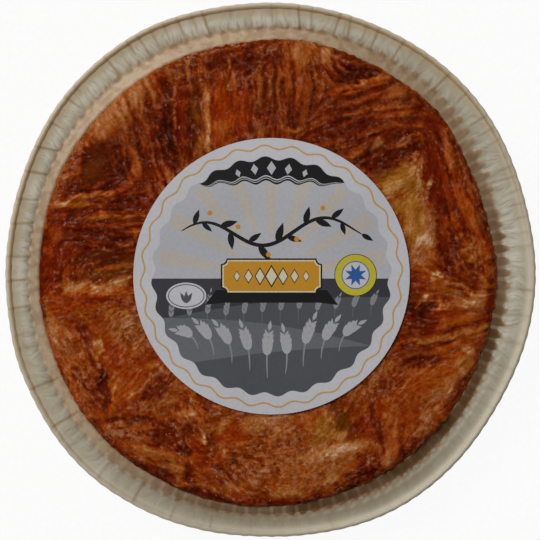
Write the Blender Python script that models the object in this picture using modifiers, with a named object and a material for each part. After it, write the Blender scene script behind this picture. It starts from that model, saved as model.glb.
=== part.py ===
"""Kouign amann: a round caramelised butter cake baked in a fluted paper case, with a round label on it.

Metres, +Z up. The case stands on z = 0 with its middle at the origin. Bearings are in degrees,
anticlockwise from +X, and places on the cake are (x, y) from the middle of the case.
"""

import math

import bmesh
import bpy
from mathutils import Vector

MM = 0.001
GAP = 0.3 * MM  # between neighbouring pieces

# Baking case: one sheet of coated paper, pressed into flutes and rolled over at the rim
PAPER = 0.5 * MM
FLUTES = 120
FLUTE_DROP = 0.4  # how far an outer fold also sits lower, as a share of its depth
# Its underside from the rim to the middle: radius, height, depth of the flutes there
CASE_PROFILE = [
    (116.0 * MM, 22.4 * MM, 0.1 * MM),  # rolled edge, outer side
    (115.1 * MM, 24.3 * MM, 0.1 * MM),  # rolled edge, top
    (113.5 * MM, 22.5 * MM, 0.3 * MM),  # flange, outer edge
    (105.6 * MM, 20.6 * MM, 1.0 * MM),  # shoulder between flange and wall
    (98.8 * MM, 3.0 * MM, 0.5 * MM),  # foot of the wall
    (96.6 * MM, 0.0, 0.0),  # edge of the flat base
    (0.0, 0.0, 0.0),
]
RIM_HEIGHT = CASE_PROFILE[1][1]
MIDDLE = 1.0 * MM  # inside this radius a turned piece has only its middle point
# The paper isn't quite round: bearing, spread in degrees, how far it stands out or in at the rim
CASE_LOBES = [
    (8, 15, -1.0 * MM),
    (44, 13, 0.9 * MM),
    (118, 19, 1.8 * MM),
    (171, 17, -2.4 * MM),
    (229, 13, 2.0 * MM),
    (270, 14, -0.6 * MM),
    (302, 12, 1.1 * MM),
    (338, 13, -1.0 * MM),
]

# Cake: highest in the middle, with a rounded edge and a side that follows the wall of the case
CAKE_RADIUS = 100.9 * MM
CAKE_SEGMENTS = 108
CROWN_HEIGHT = 29.6 * MM
EDGE_HEIGHT = 25.6 * MM
CROWN_POWER = 3.0
TOP_RINGS = [30 * MM, 50 * MM, 60 * MM, 67 * MM, 74 * MM, 80 * MM, 86 * MM, 91.5 * MM, 96 * MM]
# The side from the rounded edge to the bottom: radius, height
CAKE_SIDE = [
    (99.4 * MM, 24.6 * MM),
    (100.9 * MM, 22.6 * MM),
    (100.3 * MM, 18.0 * MM),
    (97.2 * MM, 8.0 * MM),
    (95.2 * MM, 1.8 * MM),
    (94.0 * MM, PAPER + GAP),
]
# The cake's uneven outline at the top: bearing, spread in degrees, how far it stands out or in
CAKE_LOBES = [
    (20, 13, -3.0 * MM),
    (350, 18, -1.2 * MM),
    (85, 10, 1.0 * MM),
    (110, 16, 0.5 * MM),
    (165, 10, -0.8 * MM),
    (230, 15, 1.4 * MM),
    (263, 12, 1.3 * MM),
]

# Label: a thin card disc that lies on the crown
LABEL_RADIUS = 60.0 * MM
LABEL_THICKNESS = 0.3 * MM
LABEL_PLACE = (1.3 * MM, -2.6 * MM)
LABEL_HEIGHT = 30.9 * MM
LABEL_MARGIN = 9.0 * MM  # beyond its edge the crust may stand above the label's underside

# Folds of the dough: start, end, half width, height. A negative height is a trough or a crease.
FOLDS = [
    # top: a broad smooth fold beside a deep crease, then long ridges that fan to the right
    ((19, 96), (21, 70), 7.0, 2.3),
    ((9, 91), (9, 64), 3.5, -3.8),
    ((-3, 92), (-2, 66), 4.5, 1.6),
    ((14, 61), (45, 72), 4.0, 1.4),
    ((24, 58), (60, 76), 4.5, 1.9),
    ((36, 55), (70, 66), 4.5, 1.6),
    ((42, 82), (54, 79), 4.0, 1.3),
    # right: a pale swell by the label, a dark trough and a rope of strands along the rim
    ((56, 45), (58, 14), 9.0, 1.3),
    ((75, 42), (76, 2), 5.0, -2.2),
    ((82, 46), (91, 9), 4.5, 1.3),
    ((80, -12), (93, -9), 3.5, 1.7),
    ((64, -20), (81, -19), 5.0, -2.2),
    # lower right: strands that rise towards the rim
    ((57, -40), (93, -28), 4.5, 1.6),
    ((60, -51), (80, -46), 4.5, 1.7),
    ((42, -82), (66, -50), 4.5, 1.7),
    ((54, -84), (66, -68), 3.5, -1.6),
    ((39, -92), (48, -84), 4.0, -1.9),
    # bottom: a soft crown and a fold shaped like a V
    ((22, -66), (40, -70), 8.0, 1.2),
    ((-31, -84), (-20, -95), 4.0, 1.6),
    ((-20, -95), (-10, -84), 4.0, 1.4),
    # lower left: a crease with a smooth fold under it, then a burnt hollow
    ((-72, -65), (-57, -65), 3.5, -2.0),
    ((-72, -72), (-53, -72), 4.0, 1.9),
    ((-50, -72), (-34, -76), 5.0, -2.0),
    # left: a sharp fold edge, a dark trough, then long level strands
    ((-91, -9), (-62, 0), 4.0, 1.7),
    ((-86, 12), (-58, 13), 5.0, -2.0),
    ((-82, 23), (-54, 22), 4.0, 1.3),
    ((-66, -24), (-58, -50), 6.0, 1.2),
    # upper left: a pool of caramel with a fold below it and strands that run down from the rim
    ((-70, 50), (-63, 45), 9.0, -1.9),
    ((-85, 33), (-58, 40), 4.0, 1.9),
    ((-62, 76), (-45, 48), 5.0, 1.4),
    ((-41, 88), (-38, 54), 3.5, -1.7),
    ((-29, 86), (-26, 54), 5.0, -1.6),
    ((-16, 60), (-10, 62), 7.0, 1.2),
]

COLOURS = {
    "caramelised_crust": "6F3313",
    "coated_paper": "B3A88F",
    "printed_card": "A3A4AC",
}


def linear(hex_colour):
    """Three linear channels from an sRGB hex colour."""
    channels = [int(hex_colour[i : i + 2], 16) / 255 for i in (0, 2, 4)]
    return [c / 12.92 if c <= 0.04045 else ((c + 0.055) / 1.055) ** 2.4 for c in channels]


def material(name, roughness, coat=0.0):
    new = bpy.data.materials.new(name)
    new.use_nodes = True
    shader = new.node_tree.nodes["Principled BSDF"]
    shader.inputs["Base Color"].default_value = (*linear(COLOURS[name]), 1)
    shader.inputs["Roughness"].default_value = roughness
    shader.inputs["Metallic"].default_value = 0.0
    shader.inputs["Coat Weight"].default_value = coat
    return new


def bump(distance, spread):
    """A smooth hill: 1 in the middle, 0 beyond the spread."""
    share = min(abs(distance) / spread, 1.0)
    return (1 - share * share) ** 2


def lobes_at(bearing, lobes):
    """How far an outline stands out at a bearing, in metres."""
    total = 0.0
    for middle, spread, height in lobes:
        away = (bearing - middle + 180) % 360 - 180
        total += height * bump(away, 2 * spread)
    return total


def off_segment(place, start, end):
    """How far a place is from a straight stretch."""
    along = end - start
    share = (place - start).dot(along) / along.length_squared
    return (place - start - along * min(max(share, 0.0), 1.0)).length


def fold_relief(x, y):
    """Height of the folded dough above the plain crown at (x, y)."""
    place = Vector((x, y))
    total = 0.0
    for start, end, half_width, height in FOLDS:
        away = off_segment(place, Vector(start) * MM, Vector(end) * MM)
        total += height * MM * bump(away, 2 * half_width * MM)
    return total


def turned_mesh(name, profile, segments):
    """A closed round of a profile that runs down its outer side, as a mesh."""
    guide = bpy.data.meshes.new(name + "_profile")
    guide.from_pydata(
        [(r, 0, z) for r, z in profile], [(i, i + 1) for i in range(len(profile) - 1)], []
    )
    turner = bpy.data.objects.new(name + "_profile", guide)
    bpy.context.scene.collection.objects.link(turner)
    screw = turner.modifiers.new("Turn", "SCREW")
    screw.steps = segments
    screw.render_steps = segments
    screw.use_merge_vertices = True
    screw.merge_threshold = 0.00005
    evaluated = turner.evaluated_get(bpy.context.evaluated_depsgraph_get())
    mesh = bpy.data.meshes.new_from_object(evaluated)
    bpy.data.objects.remove(turner)
    bpy.data.meshes.remove(guide)
    mesh.name = name
    return mesh


def place_piece(name, mesh, look, collection):
    piece = bpy.data.objects.new(name, mesh)
    mesh.materials.clear()
    mesh.materials.append(look)
    collection.objects.link(piece)
    return piece


def make_case(collection):
    """The turned sheet gets its flutes and its uneven outline, then its thickness."""
    mesh = turned_mesh("baking_case", [(r, z) for r, z, _ in CASE_PROFILE], 2 * FLUTES)
    depths = {round(r / MM, 3): depth for r, _, depth in CASE_PROFILE}
    for vertex in mesh.vertices:
        x, y, z = vertex.co
        radius = math.hypot(x, y)
        if radius < MIDDLE:
            continue
        bearing = math.degrees(math.atan2(y, x))
        side = 1 if round(bearing * FLUTES / 180) % 2 else -1
        flute = side * depths[round(radius / MM, 3)]
        give = lobes_at(bearing, CASE_LOBES) * z / RIM_HEIGHT
        stretch = (radius + flute + give) / radius
        vertex.co = (x * stretch, y * stretch, z - FLUTE_DROP * flute)
    case = place_piece("baking_case", mesh, material("coated_paper", 0.55), collection)
    paper = case.modifiers.new("Paper thickness", "SOLIDIFY")
    paper.thickness = PAPER
    paper.offset = -1
    paper.use_even_offset = True
    return case


def crown_height(radius):
    share = (radius / CAKE_RADIUS) ** CROWN_POWER
    return CROWN_HEIGHT + (EDGE_HEIGHT - CROWN_HEIGHT) * share


def ceiling_under_label(x, y):
    """The crust stays just clear of the label, and may stand a little above it beyond its edge."""
    away = math.hypot(x - LABEL_PLACE[0], y - LABEL_PLACE[1])
    clear = LABEL_HEIGHT - GAP
    return clear if away < LABEL_RADIUS + LABEL_MARGIN else clear + MM


def make_cake(collection):
    """The turned cake gets its uneven outline, most at the top, and the folds of its crust."""
    top = [(0.0, crown_height(0.0))] + [(r, crown_height(r)) for r in TOP_RINGS]
    mesh = turned_mesh("pastry", top + CAKE_SIDE + [(0.0, CAKE_SIDE[-1][1])], CAKE_SEGMENTS)
    floor = CAKE_SIDE[-1][1]
    for vertex in mesh.vertices:
        x, y, z = vertex.co
        radius = math.hypot(x, y)
        share = (z - floor) / (EDGE_HEIGHT - floor)
        lobe = lobes_at(math.degrees(math.atan2(y, x)), CAKE_LOBES)
        stretch = 1 + min(share, 1.0) * lobe / CAKE_RADIUS
        vertex.co.x = x * stretch
        vertex.co.y = y * stretch
        if z >= CAKE_SIDE[0][1]:
            lifted = z + fold_relief(vertex.co.x, vertex.co.y)
            vertex.co.z = min(lifted, ceiling_under_label(vertex.co.x, vertex.co.y))
    cake = place_piece("pastry", mesh, material("caramelised_crust", 0.35, 0.4), collection)
    cake.data.shade_smooth()
    cake.data.set_sharp_from_angle(angle=math.radians(50))
    return cake


def make_label(collection):
    mesh = bpy.data.meshes.new("label")
    disc = bmesh.new()
    bmesh.ops.create_cone(
        disc,
        cap_ends=True,
        segments=96,
        radius1=LABEL_RADIUS,
        radius2=LABEL_RADIUS,
        depth=LABEL_THICKNESS,
    )
    disc.to_mesh(mesh)
    disc.free()
    label = place_piece("label", mesh, material("printed_card", 0.5), collection)
    label.location = (*LABEL_PLACE, LABEL_HEIGHT + LABEL_THICKNESS / 2)
    return label


def main():
    for existing in list(bpy.data.objects):
        bpy.data.objects.remove(existing)
    collection = bpy.data.collections.new("kouign_amann")
    bpy.context.scene.collection.children.link(collection)
    make_case(collection)
    make_cake(collection)
    make_label(collection)


main()
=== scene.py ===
"""Kouign amann: a caramelised butter cake in a fluted paper case, with a round printed label on it.

The sizes here are in millimetres until a mesh is made, and the meshes are in metres, +Z up. Bearings are in
degrees, anticlockwise from +X, and places on the cake are (x, y) from the middle of its case.
"""

import math
from functools import partial

import bpy
import numpy as np
from bpy.props import FloatProperty, PointerProperty, StringProperty
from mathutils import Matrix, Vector, geometry


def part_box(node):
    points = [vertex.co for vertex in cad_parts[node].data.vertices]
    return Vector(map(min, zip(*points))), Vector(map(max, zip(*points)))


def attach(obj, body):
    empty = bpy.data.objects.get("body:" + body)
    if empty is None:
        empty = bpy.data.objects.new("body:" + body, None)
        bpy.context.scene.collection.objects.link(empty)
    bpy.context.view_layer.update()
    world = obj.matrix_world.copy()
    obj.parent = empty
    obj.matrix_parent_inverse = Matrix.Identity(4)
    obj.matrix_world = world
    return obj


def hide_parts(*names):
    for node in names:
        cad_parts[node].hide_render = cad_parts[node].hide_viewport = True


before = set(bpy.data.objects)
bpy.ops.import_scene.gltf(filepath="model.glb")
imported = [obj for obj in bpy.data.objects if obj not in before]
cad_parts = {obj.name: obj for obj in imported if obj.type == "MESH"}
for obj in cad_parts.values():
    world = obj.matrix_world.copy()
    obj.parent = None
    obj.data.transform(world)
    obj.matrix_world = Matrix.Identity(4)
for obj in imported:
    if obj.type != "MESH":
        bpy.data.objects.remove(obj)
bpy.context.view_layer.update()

bl_info = {
    "name": "Kouign amann",
    "version": (1, 0, 0),
    "blender": (4, 5, 0),
    "location": "3D View > Sidebar > Kouign amann",
    "description": "A caramelised butter cake in a fluted paper case, with a round label",
    "category": "Add Mesh",
}

MM = 0.001
CASE_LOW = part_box("baking_case")[0]
CAKE_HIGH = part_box("pastry")[1]
LABEL_LOW, LABEL_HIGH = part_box("label")
LABEL_MIDDLE = (LABEL_LOW + LABEL_HIGH) / 2 / MM

# ---------------------------------------------------------------- helpers


def linear(code):
    """Linear channels and a full alpha from an sRGB hex colour."""
    channels = [int(code[i : i + 2], 16) / 255 for i in (0, 2, 4)]
    return (*[c / 12.92 if c <= 0.04045 else ((c + 0.055) / 1.055) ** 2.4 for c in channels], 1.0)


def add_node(tree, kind, *values, out=0, stops=None, **settings):
    """Adds a node with its settings, colour stops and inputs, and gives one of its outputs, or all for None.
    The kind may be followed by its operation. The inputs are values or links, in the sockets' order or in a
    dictionary by name or number."""
    kind, _, operation = kind.partition(" ")
    node = tree.nodes.new(kind if "Node" in kind else "ShaderNode" + kind)
    if operation:
        node.operation = operation
    for name, value in settings.items():
        setattr(node, name, value)
    if stops:
        ramp = node.color_ramp.elements
        while len(ramp) < len(stops):
            ramp.new(1.0)
        for element, (place, colour) in zip(ramp, stops):
            element.position = place
            element.color = linear(colour)
    given = values[0] if values and isinstance(values[0], dict) else dict(enumerate(values))
    for name, value in given.items():
        socket = node.inputs[name] if isinstance(name, int) else next(
            s for s in node.inputs if s.name == name and s.enabled
        )
        if isinstance(value, bpy.types.NodeSocket):
            tree.links.new(value, socket)
        else:
            socket.default_value = value
    return node.outputs if out is None else node.outputs[out]


# Settings that many nodes share
EASED = {"interpolation_type": "SMOOTHSTEP"}
COLOURS = {"data_type": "RGBA", "out": 2}


def product(add, *fields):
    """The fields multiplied. One in a tuple is eased first: the field, from, to, and what it is at each."""
    total = None
    for field in fields:
        if isinstance(field, tuple):
            field = add("MapRange", *field, **EASED)
        total = field if total is None else add("Math MULTIPLY", total, field)
    return total


def layered(add, surface, layers):
    """Colours laid over a surface one after the other, each as strong as the product of its fields."""
    for colour, *fields in layers:
        above = linear(colour) if isinstance(colour, str) else colour
        surface = add("Mix", {0: product(add, *fields), 6: surface, 7: above}, **COLOURS)
    return surface


def new_material(name):
    """An empty node material with its output, and its tree."""
    made = bpy.data.materials.new(name)
    made.use_nodes = True
    made.node_tree.nodes.clear()
    return made, made.node_tree


def bump(distance):
    """A smooth hill: 1 at 0 and 0 from 1 on."""
    share = np.clip(np.abs(distance), 0, 1)
    return (1 - share * share) ** 2


def ease(value, low, high):
    """Rises smoothly from 0 at low to 1 at high."""
    share = np.clip((value - low) / (high - low), 0, 1)
    return share * share * (3 - 2 * share)


def lobes_at(bearing, lobes):
    """How far an outline stands out at each bearing, in mm."""
    total = np.zeros_like(bearing)
    for middle, spread, height in lobes:
        away = (bearing - middle + 180) % 360 - 180
        total += height * bump(away / (2 * spread))
    return total


def geometry_tree(name, result, **inputs):
    """An empty Geometry Nodes tree with one geometry output, and inputs that are each a name and a kind."""
    tree = bpy.data.node_groups.new(name, "GeometryNodeTree")
    for title, kind in inputs.items():
        tree.interface.new_socket(title, in_out="INPUT", socket_type="NodeSocket" + kind)
    tree.interface.new_socket(result, in_out="OUTPUT", socket_type="NodeSocketGeometry")
    return tree


def grow(piece, tree, **values):
    """Runs a Geometry Nodes tree with these inputs on a piece, and leaves a plain mesh."""
    modifier = piece.modifiers.new(tree.name, "NODES")
    modifier.node_group = tree
    for item in tree.interface.items_tree:
        if item.in_out == "INPUT" and item.name in values:
            modifier[item.identifier] = values[item.name]
    return freeze(piece)


def keep_field(mesh, name, values):
    """Stores a value for each point."""
    mesh.attributes.new(name, "FLOAT", "POINT").data.foreach_set(
        "value", np.asarray(values, dtype=np.float32)
    )


def place_object(name, mesh):
    """A mesh becomes an object at the origin, where the frame's own nodes are."""
    made = bpy.data.objects.new(name, mesh)
    bpy.context.scene.collection.objects.link(made)
    return made


def mesh_from(name, points, faces, smooth=True):
    """A mesh from points in mm."""
    made = bpy.data.meshes.new(name)
    made.from_pydata((np.asarray(points, dtype=float) * MM).tolist(), [], faces)
    made.update()
    if smooth:
        made.shade_smooth()
    return made


def freeze(piece):
    """Turns a piece with its modifiers into a plain mesh."""
    graph = bpy.context.evaluated_depsgraph_get()
    made = bpy.data.meshes.new_from_object(piece.evaluated_get(graph))
    piece.modifiers.clear()
    old = piece.data
    piece.data = made
    bpy.data.meshes.remove(old)
    made.name = piece.name
    return piece


# ---------------------------------------------------------------- the baking case

FLUTES = 120
COLUMNS = 10  # for each flute
PAPER = 0.5
FLUTE_DROP = 0.4  # how far an outer fold also sits lower, as a share of its depth
RIM_HEIGHT = 24.3
# Bearing, spread in degrees, how far the rim stands out or in
CASE_LOBES = [
    (8, 15, -1.0), (44, 13, 0.9), (101, 9, -1.0), (118, 19, 1.8), (132, 12, -0.3), (171, 17, -2.4),
    (190, 6, -0.5), (229, 13, 2.0), (252, 8, 0.7), (270, 14, -0.6), (290, 12, 0.6), (302, 12, 1.1),
    (338, 13, -1.0), (352, 12, 0.9)
]
# The underside of the paper from the middle to the flange: radius, height, depth of the flutes
CASE_PROFILE = [
    (0.0, 0.0, 0.0), (48.0, 0.0, 0.0), (90.0, 0.0, 0.0), (96.2, 0.0, 0.05), (97.3, 0.25, 0.15),
    (98.1, 1.0, 0.25), (98.7, 2.4, 0.3), (99.4, 5.4, 0.3), (100.1, 8.4, 0.3), (100.8, 11.4, 0.3),
    (101.0, 14.0, 0.22), (101.1, 16.6, 0.16), (101.0, 18.8, 0.12), (100.9, 20.6, 0.1), (101.2, 21.1, 0.08),
    (102.0, 20.9, 0.08), (103.4, 20.1, 0.08), (104.6, 19.8, 0.12), (105.6, 19.8, 0.2), (106.4, 20.2, 0.26),
    (107.0, 20.7, 0.28), (107.6, 21.2, 0.24), (108.2, 21.55, 0.18), (109.0, 21.85, 0.12),
    (110.0, 22.0, 0.09), (111.2, 22.05, 0.07), (112.3, 22.1, 0.06), (113.3, 22.2, 0.05),
    (114.2, 22.3, 0.05), (114.95, 22.5, 0.05)
]
BEAD_MIDDLE = (115.9, 22.65)
BEAD_REACH = (0.8, 0.8)  # half its width and half its height
BEAD_TURNS = range(156, -76, -26)  # degrees, from the flange over the top and under
# Bearing, spread in degrees, how far the wall next to the cake is folded up into a ledge, in mm
LEDGE_LOBES = [(135, 60, 1.2), (195, 35, 0.6), (300, 60, 0.4)]
# Bearing, spread in degrees, how much butter the wall has taken up together with the cake's painted shadow on
# it, from 0 to 1
SOAK_AND_SHADE_LOBES = [
    (312, 26, 1.0), (272, 22, 0.72), (350, 24, 0.6), (22, 20, 0.46), (240, 16, 0.35), (55, 20, 0.36),
    (180, 24, 0.24)
]
# Bearing, spread in degrees, how far the flange is tanned in the oven, and towards the lower right darkened
# by the cake's painted shadow
TAN_AND_SHADE_LOBES = [(276, 26, 1.1), (320, 22, 0.65), (225, 24, 0.45), (48, 24, 0.45), (180, 20, 0.15)]
# Bearing of a brown crease at the rim, how strong, how far in it reaches in mm, how far it leans in degrees
CREASES = [
    (177.0, 0.7, 105, -0.3), (169.6, 0.7, 106, -1.2), (164.0, 0.7, 105, -1.2), (157.6, 0.9, 105, -1.2),
    (151.8, 0.9, 105, -1.6), (145.8, 0.7, 108, -0.6), (139.5, 0.8, 108, -0.4), (136.6, 0.5, 111, -0.3),
    (127.5, 0.9, 107, -0.2), (121.8, 0.8, 109, -0.1), (119.2, 0.7, 107, -0.4), (116.2, 0.6, 107, -0.2),
    (113.2, 0.5, 107, 0.0), (110.0, 0.8, 108, -0.3), (106.8, 0.6, 108, -0.3), (104.4, 0.9, 106, -0.6),
    (98.4, 0.5, 110, 0.0), (89.4, 0.5, 110, -0.4), (83.4, 0.8, 105, -0.8), (80.5, 0.6, 107, -0.5),
    (74.3, 1.0, 106, 0.4), (71.8, 0.7, 107, -0.8), (68.2, 0.4, 108, -0.5), (65.4, 0.8, 107, -0.2),
    (59.4, 0.9, 106, 0.3), (56.6, 0.4, 108, 0.0), (53.5, 0.4, 108, 0.0), (47.4, 0.9, 103, 0.3),
    (41.8, 0.6, 108, -0.3), (35.4, 0.8, 107, 0.3), (32.4, 0.4, 108, 0.0), (29.6, 0.4, 108, -0.3),
    (23.2, 0.5, 107, -0.3), (20.9, 0.6, 102, 0.4), (17.8, 0.5, 107, -0.4), (14.8, 0.5, 106, 0.0),
    (11.8, 0.5, 106, -0.2), (8.4, 0.3, 107, 0.2), (5.4, 0.3, 107, 0.0), (-4.4, 0.6, 105, 0.2),
    (-10.1, 0.3, 106, -0.2), (-16.4, 0.3, 108, -0.4), (-22.2, 0.3, 106, -0.1), (-28.0, 0.2, 108, 0.0),
    (-31.8, 0.2, 108, 0.0), (-67.0, 0.2, 108, 0.0), (-76.0, 0.3, 108, -0.4), (-94.0, 0.2, 107, 0.0),
    (-102.8, 0.5, 106, -0.4), (-111.6, 0.5, 103, 0.0), (-120.4, 0.9, 103, 0.0), (-129.4, 0.5, 104, -0.3),
    (-138.4, 0.4, 106, 0.2), (-144.0, 0.9, 101, 0.5), (-153.4, 0.9, 101, 0.4), (-162.4, 0.3, 107, 0.3),
    (-165.4, 0.4, 108, 0.0), (-171.5, 0.7, 106, 0.0), (-177.6, 0.9, 107, -0.3)
]


def fluted_case_tree(paper):
    """Geometry Nodes that turn a profile round the middle and press it into flutes."""
    tree = geometry_tree(
        "Fluted paper case", "Case", Profile="Geometry", Flutes="Int", Columns="Int", Drop="Float",
        Crispness="Float", Unevenness="Float", Seed="Float"
    )
    add = partial(add_node, tree)
    given = add("NodeGroupInput", out=None)
    count = add("GeometryNodeAttributeDomainSize", given["Profile"])
    around = add("Math MULTIPLY", given["Flutes"], given["Columns"])
    grid = add("GeometryNodeMeshGrid", {"Vertices X": add("Math ADD", around, 1.0), "Vertices Y": count})
    index = add("GeometryNodeInputIndex")
    column = add("Math FLOOR", add("Math DIVIDE", add("Math ADD", index, 0.5), count))
    point = add("Math SUBTRACT", index, add("Math MULTIPLY", column, count))
    profile_place, depth = (
        add(
            "GeometryNodeSampleIndex", {"Geometry": given["Profile"], "Value": value, "Index": point},
            data_type=kind
        )
        for value, kind in (
            (add("GeometryNodeInputPosition"), "FLOAT_VECTOR"),
            (add("GeometryNodeInputNamedAttribute", {"Name": "flute_depth"}), "FLOAT")
        )
    )
    turn = add("Math MULTIPLY", add("Math DIVIDE", column, around), math.tau)
    # The same unevenness has to meet itself after a full turn, so it is read on a circle
    circle = add("CombineXYZ", add("Math COSINE", turn), add("Math SINE", turn), given["Seed"])
    drift = add("TexNoise", {"Vector": circle, "Scale": 9.0, "Detail": 2.0})
    vigour = add("TexNoise", {"Vector": circle, "Scale": 24.0, "Detail": 1.0})
    shifted = product(add, add("Math SUBTRACT", drift, 0.5), given["Unevenness"], 9.0)
    wave = add("Math SINE", add("Math ADD", add("Math MULTIPLY", turn, given["Flutes"]), shifted))
    marked = add(
        "GeometryNodeStoreNamedAttribute", {"Geometry": grid, "Name": "fold", "Value": wave},
        data_type="FLOAT", domain="POINT"
    )
    crisp = add("Math TANH", add("Math MULTIPLY", wave, given["Crispness"]))
    share = product(add, add("Math SUBTRACT", vigour, 0.5), given["Unevenness"], 2.4)
    flute = product(add, crisp, depth, add("Math ADD", 1.0, share))
    offset = add("CombineXYZ", {"X": flute, "Z": product(add, flute, given["Drop"], -1.0)})
    pressed = add("VectorMath ADD", profile_place, offset)
    turned = add(
        "VectorRotate", {"Vector": pressed, "Axis": (0.0, 0.0, 1.0), "Angle": turn},
        rotation_type="AXIS_ANGLE"
    )
    placed = add("GeometryNodeSetPosition", {"Geometry": marked, "Position": turned})
    joined = add("GeometryNodeMergeByDistance", {"Geometry": placed, "Distance": 2e-6})
    smooth = add("GeometryNodeSetShadeSmooth", joined)
    real = add("GeometryNodeRealizeInstances", smooth)
    dressed = add("GeometryNodeSetMaterial", {"Geometry": real, "Material": paper})
    add("NodeGroupOutput", {"Case": dressed}, out=None)
    return tree


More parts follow.
